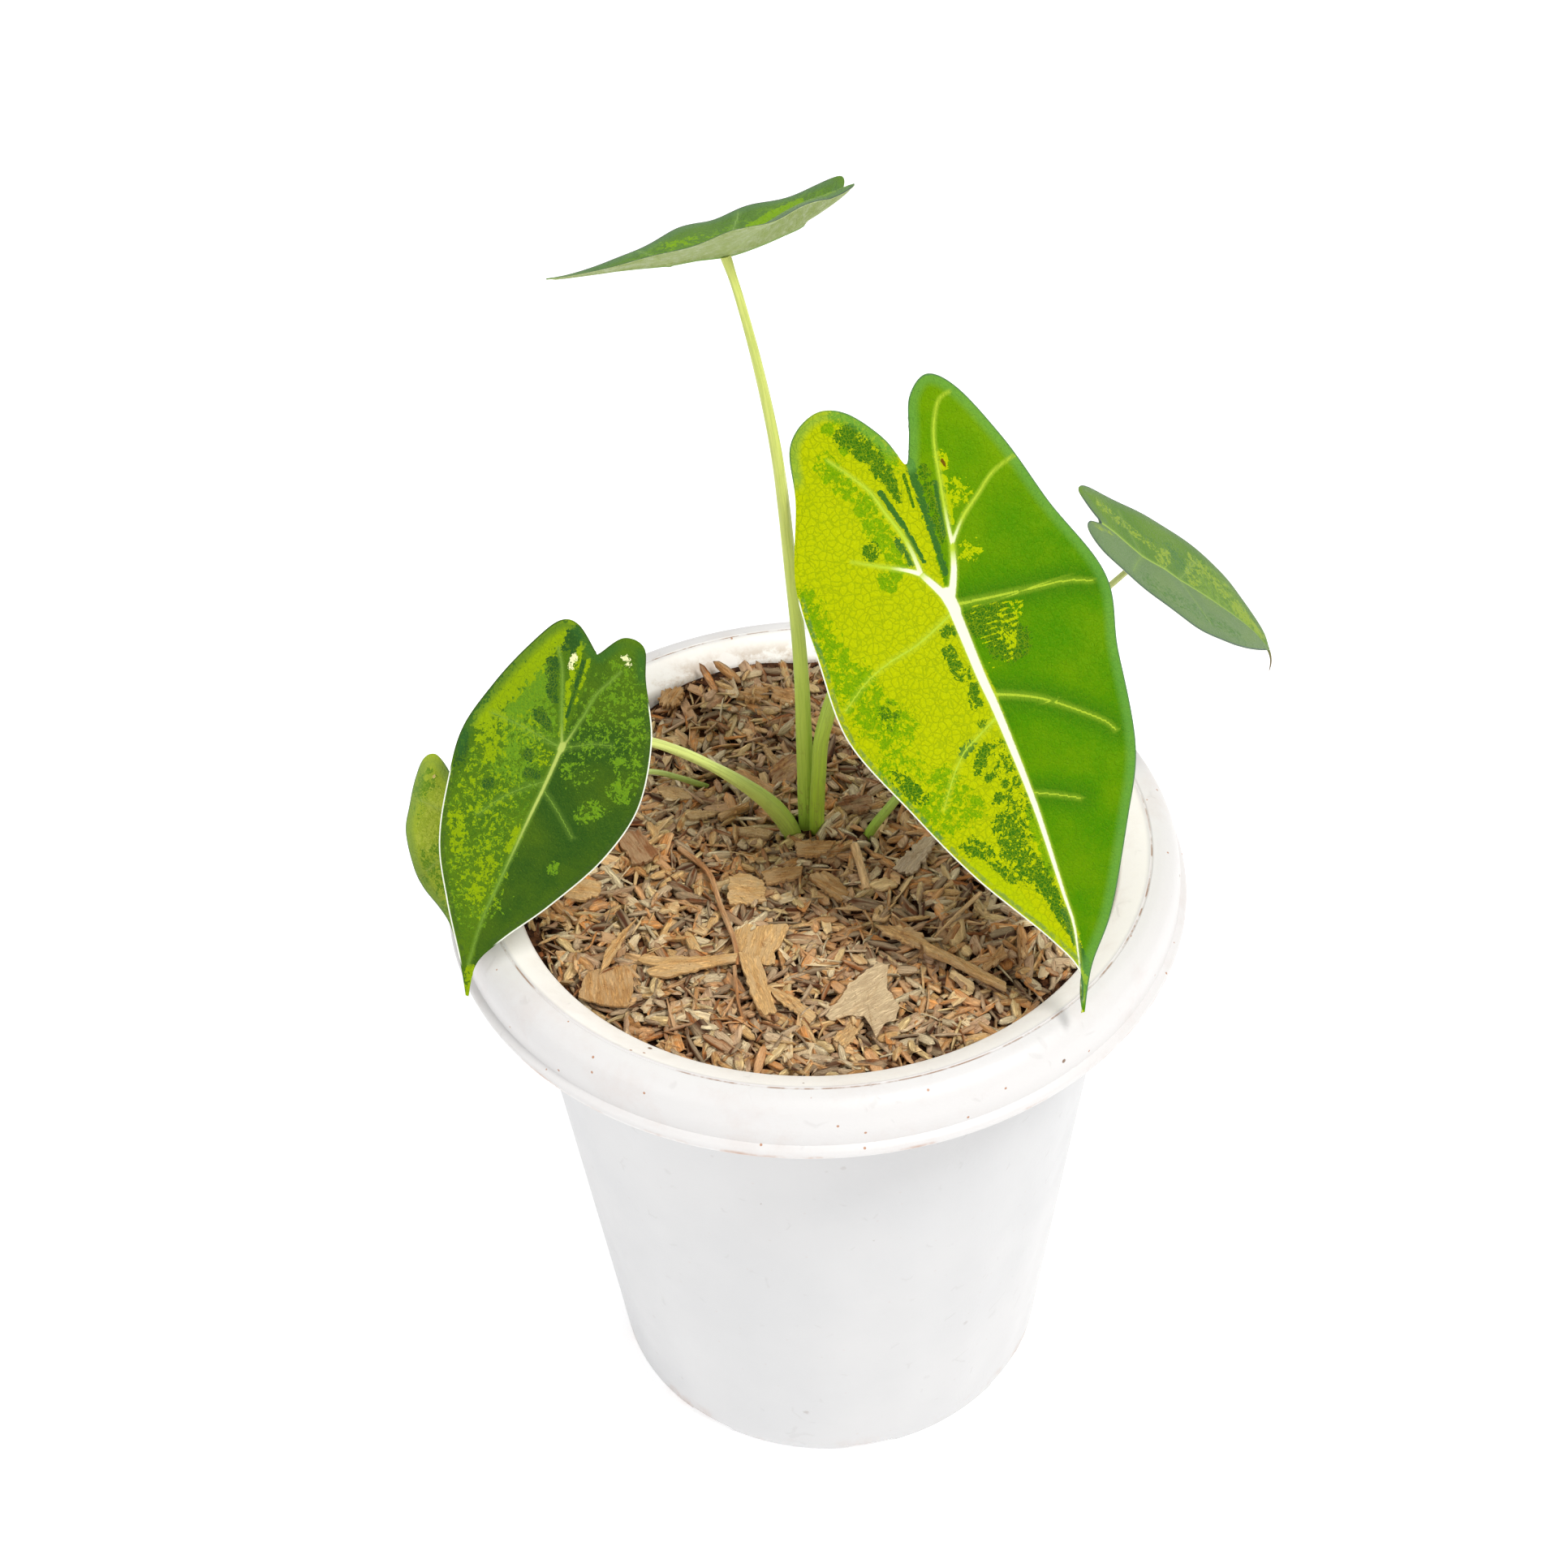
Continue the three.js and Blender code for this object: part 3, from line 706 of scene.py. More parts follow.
def make_specks() -> None:
    """Makes the group that scatters small round dots: a share of random cells holds one dot each."""
    inputs = {"Place": Kind.VECTOR, "Scale": Kind.NUMBER, "Size": Kind.NUMBER, "Share": Kind.NUMBER}
    outputs = {"Mask": Kind.NUMBER}
    graph, given, result = new_group(Effect.SPECKS.value, "ShaderNodeTree", inputs, outputs)
    node = graph.cells(given("Place"), given("Scale"))
    chosen = graph.math("LESS_THAN", graph.parts(node.outputs["Color"])[0], given("Share"))
    dot = graph.step(node.outputs["Distance"], given("Size"), graph.times(given("Size"), 0.6))
    graph.feed(result.inputs["Mask"], graph.times(chosen, dot))


def make_fibres() -> None:
    """Makes the group that draws fine lines along a place's first axis."""
    inputs = {"Place": Kind.VECTOR, "Fineness": Kind.NUMBER}
    outputs = {"Lines": Kind.NUMBER, "Streaks": Kind.NUMBER}
    graph, given, result = new_group(Effect.FIBRES.value, "ShaderNodeTree", inputs, outputs)
    long = graph.scaled(given("Place"), (0.16, 1.0, 1.0))
    fine = graph.noise(long, given("Fineness"), 4.0, 0.65)
    graph.feed(result.inputs["Lines"], graph.step(fine, 0.34, 0.66))
    wide = graph.times(given("Fineness"), 0.3)
    graph.feed(result.inputs["Streaks"], graph.step(graph.noise(long, wide, 2.0), 0.38, 0.62))


def make_weathering() -> None:
    """Makes the group that gives cloudy dust and hair-thin scuffs, from a place in metres."""
    inputs = {"Place": Kind.VECTOR}
    outputs = {"Dust": Kind.NUMBER, "Scuffs": Kind.NUMBER}
    graph, given, result = new_group(Effect.WEATHERING.value, "ShaderNodeTree", inputs, outputs)
    dust = graph.noise(given("Place"), 55.0, 6.0, 0.68)
    graph.feed(result.inputs["Dust"], graph.step(dust, 0.46, 0.72))
    bent = graph.warped(given("Place"), 60.0, 0.012)
    lines = graph.cells(bent, 95.0, "DISTANCE_TO_EDGE").outputs["Distance"]
    rare = graph.step(graph.noise(given("Place"), 130.0, 1.0), 0.64, 0.7)
    hair = graph.step(lines, 0.05, 0.015)
    graph.feed(result.inputs["Scuffs"], graph.times(hair, rare))


def make_leaf_surface() -> None:
    """Makes the group that colours a blade from its flat place, its veins and its patches."""
    inputs = {name: Kind.COLOUR for name in BLADE_COLOURS} | {name: Kind.NUMBER for name in BLADE_NUMBERS}
    outputs = {"Colour": Kind.COLOUR, "Roughness": Kind.NUMBER, "Height": Kind.NUMBER}
    graph, given, result = new_group(Effect.LEAF_SURFACE.value, "ShaderNodeTree", inputs, outputs)
    times, step = graph.times, graph.step

    flat = graph.attribute("flat", "Vector")
    edge = graph.attribute("edge")
    far = graph.minus(graph.attribute("vein_gap"), 0.5)
    vein = graph.larger(graph.math("ABSOLUTE", graph.attribute("vein")), far)
    speckle = graph.noise(flat, 2.4, 3.0, 0.7)
    grit = graph.minus(speckle, 0.5)

    warped = graph.warped(flat, 0.4, 2.0)
    cloud = graph.minus(graph.noise(flat, given("Mottle Scale"), 6.0, 0.7), 0.5)
    rough = times(cloud, 2.6)
    for fineness, share in ((2.2, 0.75), (5.5, 0.55)):
        blocks = graph.cells(warped, times(given("Mottle Scale"), fineness))
        block = graph.minus(graph.parts(blocks.outputs["Color"])[0], 0.5)
        rough = graph.plus(rough, times(block, share))
    rough = times(rough, given("Mottle"))

    def patch(name: str, soft: float = 0.08) -> Socket:
        """Returns the mask of a set of patches with their edges broken up."""
        return step(graph.plus(graph.attribute(name), rough), -soft, soft)

    half = step(graph.plus(graph.attribute("side"), times(rough, 0.5)), -0.25, 0.25)
    lobeward = times(step(graph.parts(flat)[0], -2.0, -42.0), half)
    broad = step(graph.noise(flat, 0.07, 3.0), 0.32, 0.68)
    between = times(step(vein, 2.0, 9.0), broad)
    near_vein = times(step(vein, 6.5, 0.6), given("Vein Shade"))
    net = graph.cells(warped, 0.55, "DISTANCE_TO_EDGE").outputs["Distance"]
    fine_net = graph.cells(warped, 1.2, "DISTANCE_TO_EDGE").outputs["Distance"]
    coarse = step(net, 0.11, 0.02)
    lines = graph.larger(coarse, times(step(fine_net, 0.14, 0.02), 0.6))
    net_share = times(given("Net Share"), graph.minus(1.0, times(half, 0.8)))
    middle, deep = patch("middle", 0.16), patch("deep")
    bright_net = times(step(fine_net, 0.12, 0.02), graph.larger(middle, deep))

    trim = graph.attribute("trim")
    lit_margin, dark_side = step(trim, 0.1, 0.5), step(trim, -0.1, -0.5)
    width = given("Vein Width")
    ragged = graph.plus(vein, times(grit, 0.4))
    vein_mask = step(ragged, width, times(width, 0.3))
    inside = graph.plus(graph.attribute("rib"), times(grit, 0.3))
    rib_mask = step(inside, -0.22, 0.2)
    rib_shade = graph.blend(graph.attribute("cream"), given("Vein"), given("Rib"))
    line = step(edge, 0.44, 0.24)
    inner_line = times(graph.between(edge, 0.7, 1.7, 0.3), lit_margin)
    inner_line = times(inner_line, step(cloud, -0.12, 0.06))
    dark = graph.larger(times(line, dark_side), times(inner_line, 0.6))
    upper = graph.layered(
        given("Left"),
        (half, given("Right")),
        (lobeward, given("Middle"), 0.4),
        (between, given("Light"), 0.15),
        (times(near_vein, half), given("Deep")),
        (times(lines, net_share), given("Net")),
        (middle, given("Middle")),
        (deep, given("Deep")),
        (patch("light"), given("Light")),
        (patch("teal"), given("Teal")),
        (times(coarse, net_share), given("Deep"), 0.4),
        (bright_net, given("Light"), 0.3),
        (step(speckle, 0.52, 0.75), given("Deep"), 0.16),
        (step(speckle, 0.46, 0.28), given("Light"), 0.14),
        (patch("fleck", 0.05), given("Fleck")),
        (times(step(edge, 3.6, 1.2), dark_side), given("Band"), 0.6),
        (step(vein, 1.8, 0.4), given("Vein"), 0.25),
        (vein_mask, given("Vein"), 0.85),
        (step(inside, -0.9, 0.1), given("Vein"), 0.6),
        (rib_mask, rib_shade),
        (dark, given("Dark Edge")),
        # Painted highlight: a pale line along the margins that catch the light.
        (times(line, lit_margin), given("Pale Edge")),
    )
    below = graph.layered(
        given("Underside"),
        (half, given("Right"), 0.12),
        (step(cloud, -0.1, 0.3), given("Pale Edge"), 0.35),
        (vein_mask, given("Rib"), 0.6),
        (rib_mask, given("Vein")),
    )
    turned = step(graph.attribute("under"), 0.4, 0.6)
    graph.feed(result.inputs["Colour"], graph.blend(turned, upper, below))
    graph.feed(result.inputs["Roughness"], graph.plus(0.4, times(speckle, 0.2)))
    dome = graph.plus(times(step(fine_net, 0.0, 0.35), 0.35), times(step(net, 0.0, 0.2), 0.4))
    height = graph.plus(dome, times(speckle, 0.25))
    graph.feed(result.inputs["Height"], times(height, graph.minus(1.0, rib_mask)))


# ------------------------------------------------------------------ pot


@dataclass(frozen=True)
class Mark:
    """A small stain on the pot: its place in millimetres, its radius and its strength."""

    place: Triple
    radius: float
    strength: float


@dataclass(frozen=True)
class PotPlastic:
    """Worn white plastic: warm on the rim, cooler on the wall, with dirt in its crease, a darker band along
    its foot, painted light on the rim and its inner lip, and a painted shadow line under the bead.
    """

    wall: Colour = tone(203, 203, 204)
    # The rim's tone is partly a warm tint and partly painted light; the lip's near-white tone is painted
    # light.
    rim: Colour = tone(219, 217, 216)
    lip: Colour = tone(251, 248, 243)
    dirt: Colour = tone(122, 92, 66)
    crease_dirt: Colour = tone(150, 114, 86)
    # Also the tone of the painted shadow line under the bead.
    rust_and_shade: Colour = tone(176, 122, 84)
    grey: Colour = tone(160, 156, 152)
    stain: Colour = tone(168, 132, 86)
    rim_height: float = 176.5
    crest_radius: float = 93.2
    lip_radius: float = 91.5
    lip_foot: float = 85.6
    marks: tuple[Mark, ...] = (
        Mark((-18.2, -78.9, 132.3), 0.5, 0.8),
        Mark((12.9, -77.7, 113.4), 0.7, 0.35),
        Mark((39.7, -59.5, 52.9), 1.1, 0.2),
        Mark((-8.4, -67.3, 21.6), 1.3, 0.3),
        Mark((-24.3, -80.4, 157.3), 1.2, 0.15),
        Mark((4.8, -83.0, 150.8), 1.0, 0.15),
        Mark((-5.1, -89.9, 192.6), 0.5, 0.8),
        Mark((28.0, -95.9, 188.3), 1.0, 0.22),
        Mark((12.0, -92.6, 194.1), 0.8, 0.2),
        Mark((58.3, -81.6, 187.6), 0.45, 0.7),
    )

    def material(self) -> bpy.types.Material:
        """Returns the material."""
        gloss = {"Specular IOR Level": 0.42, "Coat Weight": 0.0}
        material, graph, shader = new_material("pot_plastic", gloss)
        place = graph.add("ShaderNodeTexCoord").outputs["Object"]
        x, y, z = graph.parts(place)
        radius = graph.hypot(x, y)
        weather = placed_group(graph, Effect.WEATHERING.value, {"Place": place})
        dust, scuffs = weather.outputs["Dust"], weather.outputs["Scuffs"]

        on_rim = graph.step(z, (self.rim_height - 1.5) * MM, (self.rim_height + 1.5) * MM)
        cloud = graph.step(graph.noise(place, 14.0, 4.0), 0.35, 0.7)
        wall = graph.blend(cloud, self.wall, self.rim, 0.3)
        inner = graph.step(radius, self.crest_radius * MM, self.lip_radius * MM)
        low_lip = graph.times(graph.step(radius, self.lip_radius * MM, self.lip_foot * MM), on_rim)
        low_lip = graph.times(low_lip, graph.plus(graph.step(y, 0.02, 0.06), 0.15))
        stain = graph.step(graph.noise(place, 95.0, 5.0, 0.7), 0.46, 0.62)
        shade = graph.layered(
            wall,
            # Painted light: the rim is painted lighter than the wall, and its inner slope near white to
            # cancel the shade that falls there.
            (on_rim, self.rim),
            (graph.times(inner, on_rim), self.lip),
            (graph.times(dust, on_rim), self.rust_and_shade, 0.1),
            (scuffs, self.grey, 0.12),
            (graph.times(stain, low_lip), self.stain, 0.5),
            (self.crease(graph, place, z, radius), self.crease_dirt),
            # Painted shadow line under the bead, and a darker band along the foot.
            (self.edges(graph, place, x, z, radius), self.rust_and_shade),
        )
        for scale, size, share, strength, colour in (
            (130.0, 0.1, 0.2, 0.85, self.dirt),
            (300.0, 0.14, 0.15, 0.8, self.rust_and_shade),
            (60.0, 0.045, 0.06, 0.8, self.grey),
        ):
            inputs = {"Place": place, "Scale": scale, "Size": size, "Share": share}
            dots = placed_group(graph, Effect.SPECKS.value, inputs).outputs["Mask"]
            where = graph.times(dots, graph.times(graph.plus(on_rim, 0.12), strength))
            shade = graph.blend(where, shade, colour)
        ragged = graph.warped(place, 700.0, 0.0016)
        for mark in self.marks:
            centre = tuple(part * MM for part in mark.place)
            gap = graph.vector("DISTANCE", ragged, centre)
            spot = graph.step(gap, mark.radius * MM, 0.4 * mark.radius * MM)
            shade = graph.blend(spot, shade, self.dirt, mark.strength)
        roughness = graph.plus(0.3, graph.times(graph.noise(place, 90.0, 3.0), 0.22))
        grain = graph.plus(graph.noise(place, 900.0, 2.0), graph.times(scuffs, -0.6))
        dress(graph, shader, grain, 0.00006, colour=shade, roughness=roughness)
        return material

    def crease(self, graph: Graph, place: Socket, z: Socket, radius: Socket) -> Socket:
        """Returns the mask of the dirt that lies in dashes in the crease along the crest."""
        offset = graph.math("ABSOLUTE", graph.minus(radius, self.crest_radius * MM))
        line = graph.step(offset, 0.00032, 0.0001)
        on_top = graph.step(z, 0.1925, 0.1932)
        dashes = graph.step(graph.noise(place, 160.0, 3.0, 0.7), 0.42, 0.58)
        long_gaps = graph.step(graph.noise(place, 22.0, 2.0), 0.36, 0.52)
        broken = graph.times(graph.plus(graph.times(dashes, 0.75), 0.1), long_gaps)
        return graph.times(graph.times(line, on_top), broken)

    def edges(self, graph: Graph, place: Socket, x: Socket, z: Socket, radius: Socket) -> Socket:
        """Returns the mask of the painted shadow line under the bead, and of a darker band along the bottom
        edge, most at its sides.
        """
        blotches = graph.step(graph.noise(place, 60.0, 4.0, 0.7), 0.48, 0.7)
        # Painted shadow on the underside of the bead.
        bead = graph.between(z, 0.1784, 0.1796, 0.0006)
        bead = graph.times(bead, graph.step(radius, 0.1, 0.102))
        sideways = graph.plus(graph.step(graph.math("ABSOLUTE", x), 0.03, 0.056), 0.25)
        foot = graph.times(graph.step(z, 0.009, 0.0005), sideways)
        return graph.times(graph.larger(graph.times(bead, 0.8), graph.times(foot, 0.6)), blotches)


@dataclass
class Pot:
    """The white pot: a tapered panelled wall under a rolled rim with a bead, all in millimetres."""

    foot_radius: float = 65.3
    taper: float = 0.11854
    wall_thickness: float = 1.9
    floor_top: float = 2.4
    panels: int = 20
    panel_depth: float = 0.5
    panel_reach: Pair = (10.0, 168.0)
    drain_ring: float = 42.0
    drain_radius: float = 4.5
    drains: int = 8
    notches: int = 8
    notch_size: Triple = (12.0, 17.0, 2.2)
    notch_turn: float = 0.17
    notch_slope: float = 1.2
    segments: int = 240
    finish: PotPlastic = field(default_factory=PotPlastic)

    UNDER_RIM = (
        (86.4, 178.0), (87.4, 187.0), (91.6, 191.4), (95.6, 190.2), (98.8, 185.2), (101.4, 178.8),
    )
    BEAD = (
        (101.4, 178.8), (102.2, 178.15), (103.1, 178.2), (103.6, 179.4), (103.4, 180.4),
        (102.6, 181.1), (101.7, 181.7),
    )
    ROLL = (
        (101.7, 181.7), (101.6, 183.2), (101.4, 187.2), (100.0, 191.2), (96.9, 193.7), (93.7, 194.2),
    )
    LIP = (
        (93.35, 193.9), (93.05, 193.9), (92.8, 194.15), (85.4, 190.15), (84.7, 189.5), (84.2, 188.2),
        (84.5, 183.8),
    )

    def inner_radius(self, height: float) -> float:
        """Returns the radius of the inner wall at a height."""
        return self.foot_radius + self.taper * height - self.wall_thickness

    def profile(self) -> np.ndarray:
        """Returns the outline of the pot's section, from the middle of its underside round."""
        wall = [(self.foot_radius + self.taper * z, z) for z in np.linspace(1.4, 177.0, 60)]
        curved = [
            spline_points(np.array(part), 5 * len(part)) for part in (self.UNDER_RIM, self.BEAD, self.ROLL)
        ]
        inner = [(self.inner_radius(z), z) for z in (178.0, 120.0, 60.0, 5.4)]
        corner = self.inner_radius(self.floor_top) - 2
        floor = [(radius, self.floor_top) for radius in (corner, 30.0, 0.0)]
        start = [(0.0, 0.0), (30.0, 0.0), (60.0, 0.0), (64.1, 0.0), (64.9, 0.35)]
        line = np.vstack([start, wall, *curved, self.LIP, inner, floor])
        kept = np.concatenate([[True], np.linalg.norm(np.diff(line, axis=0), axis=1) > 1e-4])
        return line[kept]

    def turned_mesh(self) -> bpy.types.Mesh:
        """Returns the pot's body, turned on its axis, with the panels pressed into its wall."""
        line = self.profile()[1:-1]
        angles = np.arange(self.segments) * TURN / self.segments
        radii = np.repeat(line[:, :1], self.segments, axis=1)
        heights = np.repeat(line[:, 1:], self.segments, axis=1)
        low, high = self.panel_reach
        outer = np.abs(line[:, 0] - (self.foot_radius + self.taper * line[:, 1])) < 0.05
        fade = np.clip((line[:, 1] - low) / 8, 0, 1) * np.clip((high - line[:, 1]) / 8, 0, 1)
        press = self.panel_depth * (0.5 - 0.5 * np.cos(self.panels * angles))
        radii = radii - (outer * fade)[:, None] * press[None, :]
        points = np.stack([radii * np.cos(angles), radii * np.sin(angles), heights], axis=2)
        points = np.vstack([points.reshape(-1, 3), [[0, 0, 0], [0, 0, self.floor_top]]])
        return mesh_of("pot_body", points * MM, turned_faces(len(line), self.segments))

    def cutter(self) -> bpy.types.Object:
        """Returns the drain holes and edge notches as one object to cut away."""
        points, faces = [], []
        sides = 32
        ring = np.arange(sides) * TURN / sides
        circle = self.drain_radius * np.stack([np.cos(ring), np.sin(ring)], axis=1)
        for k in range(self.drains):
            turn = k * TURN / self.drains
            places = self.drain_ring * np.array([math.cos(turn), math.sin(turn)]) + circle
            self.add_prism(points, faces, [(*p, z) for z in (-6.0, 6.0) for p in places])
        half_x, half_y, top = self.notch_size[0] / 2, self.notch_size[1] / 2, self.notch_size[2]
        for k in range(self.notches):
            turn = self.notch_turn + k * TURN / self.notches
            axis = np.array([math.cos(turn), math.sin(turn)])
            across = np.array([-axis[1], axis[0]])
            corners = []
            for z, inset in ((-top, 0.0), (top, self.notch_slope)):
                for sx, sy in ((-1, -1), (1, -1), (1, 1), (-1, 1)):
                    spot = axis * (self.foot_radius + sx * half_x) + across * sy * (half_y - inset)
                    corners.append((*spot, z))
            self.add_prism(points, faces, corners)
        mesh = bpy.data.meshes.new("pot_cutter")
        mesh.from_pydata([tuple(part * MM for part in p) for p in points], [], faces)
        return new_object("pot_cutter", mesh)

    def add_prism(self, points: list[Triple], faces: list[list[int]], corners: list[Triple]) -> None:
        """Adds a prism to lists of points and faces, from the corners of its lower and upper end."""
        base, sides = len(points), len(corners) // 2
        low, high = list(range(base, base + sides)), list(range(base + sides, base + 2 * sides))
        points += corners
        faces += [[a, b, b + sides, a + sides] for a, b in zip(low, low[1:] + low[:1])]
        faces += [low[::-1], high]

    def build(self) -> None:
        """Makes the pot and its finish."""
        carrier = new_object("pot_carrier", self.turned_mesh())
        cutter = self.cutter()
        cut = carrier.modifiers.new("openings", "BOOLEAN")
        cut.operation, cut.solver, cut.object = "DIFFERENCE", "EXACT", cutter
        pot = evaluated_copy("pot_shell", carrier)
        bpy.data.objects.remove(cutter)
        smooth(pot.data, 32)
        pot.data.materials.clear()
        pot.data.materials.append(self.finish.material())
        register(pot, "pot_plastic", "pot")


# ------------------------------------------------------------------ substrate


@dataclass(frozen=True)
class GrainFinish:
    """Dry plant matter: each grain has a tone of its own, with streaks along its fibres."""

    name: str
    tones: tuple[Colour, ...]
    streak: Colour
    pale: Colour
    fibre_scale: float = 1.6
    blots: float = 0.5
    bump: float = 0.0004

    def material(self) -> bpy.types.Material:
        """Returns the material, which reads each grain's own tint and place."""
        material, graph, shader = new_material(self.name, {"Specular IOR Level": 0.2})
        tint = graph.attribute("tint")
        offset = graph.add("ShaderNodeCombineXYZ", {0: graph.times(tint, 97.0)}).outputs[0]
        place = graph.vector("ADD", graph.attribute("grain", "Vector"), offset)
        cloud = graph.minus(graph.noise(place, 0.5, 3.0), 0.5)
        drift = graph.plus(tint, graph.times(cloud, 0.2))
        limits = [rank / len(self.tones) for rank in range(1, len(self.tones))]
        steps = [graph.step(drift, limit - 0.02, limit + 0.02) for limit in limits]
        fibres = placed_group(graph, Effect.FIBRES.value, {"Place": place, "Fineness": self.fibre_scale})
        lines = fibres.outputs["Lines"]
        blots = graph.step(graph.noise(place, 1.3, 3.0, 0.7), 0.6, 0.72)
        dots = graph.step(graph.noise(place, 4.0, 2.0), 0.64, 0.72)
        shade = graph.layered(
            self.tones[0],
            *zip(steps, self.tones[1:]),
            (graph.minus(1.0, lines), self.streak, 0.46),
            (fibres.outputs["Streaks"], self.pale, 0.32),
            (graph.larger(blots, dots), self.streak, self.blots),
        )
        roughness = graph.minus(0.85, graph.times(lines, 0.25))
        dress(graph, shader, lines, self.bump, colour=shade, roughness=roughness)
        return material


BARK = GrainFinish(
    "bark",
    (
        tone(72, 42, 26), tone(136, 84, 50), tone(204, 144, 92), tone(236, 162, 90), tone(242, 194, 134),
        tone(253, 214, 150), tone(254, 230, 184), tone(218, 180, 142),
    ),
    tone(112, 66, 38), tone(252, 226, 180), 1.1,
)
SLAB = GrainFinish(
    "old_bark",
    (
        tone(108, 70, 44), tone(156, 104, 64), tone(208, 158, 98), tone(214, 164, 106), tone(232, 186, 122),
        tone(228, 190, 134), tone(226, 200, 158), tone(206, 186, 158),
    ),
    tone(124, 84, 54), tone(234, 208, 164), 2.6, 0.62, 0.00022,
)
HUSK = GrainFinish(
    "rice_husk",
    (
        tone(106, 62, 34), tone(178, 112, 62), tone(240, 160, 84), tone(250, 204, 136), tone(224, 164, 100),
        tone(254, 222, 158), tone(214, 178, 140), tone(254, 234, 190),
    ),
    tone(128, 76, 42), tone(253, 234, 192), 2.2,
)
CRUMB = GrainFinish(
    "crumbs",
    (tone(56, 32, 20), tone(112, 66, 40), tone(176, 108, 62), tone(224, 168, 112)),
    tone(84, 50, 32), tone(230, 184, 130),
)


@dataclass(frozen=True)
class Scatter:
    """One kind of loose grain: its number a square metre, size, slope, height and free ground.

    The roll is about the grain's own length, the pitch across it; lift, reach and clear are in
    millimetres.
    """

    name: str
    density: float
    seed: int
    size: Pair
    roll: float
    pitch: float
    lift: Pair
    reach: float
    clear: float
    finish: GrainFinish


@dataclass(frozen=True)
class LargePiece:
    """A listed piece of bark or wood: its outline on the soil, in millimetres.

    Its fibres run at the given turn. Its lean tips it about X and Y, in degrees.
    """

    outline: tuple[Pair, ...]
    tint: float
    turn: float
    thickness: float = 1.2
    rise: float = 3.2
    lean: Pair = (4.0, 2.0)
    ragged: float = 0.35
    curl: float = 0.006


@dataclass(frozen=True)
class WallRow:
    """The husks that lie along the pot's wall, in millimetres."""

    name: str = "soil_husks_at_wall"
    count: int = 210
    seed: int = 77
    radius: float = 81.6
    jitter: float = 2.4
    height: float = 182.2
    sway: float = 0.3
    roll: float = 1.2
    pitch: float = 0.3


def slab_outline(at: Pair, length: float, width: float, turn: float) -> tuple[Pair, ...]:
    """Returns the outline of a plain slab, with one worn corner."""
    angle = math.radians(turn)
    corners = ((-0.5, -0.42), (0.38, -0.5), (0.5, -0.1), (0.44, 0.5), (-0.4, 0.46), (-0.5, 0.1))
    return tuple(
        (
            at[0] + x * length * math.cos(angle) - y * width * math.sin(angle),
            at[1] + x * length * math.sin(angle) + y * width * math.cos(angle),
        )
        for x, y in corners
    )


@dataclass(frozen=True)
class Twig:
    """A thin stalk of dead matter on the soil: a path, a radius at both ends, and a tint."""

    points: tuple[Triple, ...]
    radii: Pair
    tint: float

    def build(self, name: str) -> None:
        """Makes the twig, with the numbers that its finish reads."""
        tube = SweptTube(self.points, self.radii, sides=9, samples=40, ridge=0.5)
        twig = tube.build(name, bpy.data.materials[BARK.name])
        count = len(twig.data.vertices)
        along, ring = np.empty(count, np.float32), np.empty(3 * count, np.float32)
        twig.data.attributes["along"].data.foreach_get("value", along)
        twig.data.attributes["ring"].data.foreach_get("vector", ring)
        length = float(np.linalg.norm(np.diff(np.array(self.points), axis=0), axis=1).sum())
        keep_numbers(twig.data, "grain", np.column_stack([along * length, ring.reshape(-1, 3)[:, :2]]))
        keep_numbers(twig.data, "tint", np.full(count, self.tint))
        register(twig, "substrate")


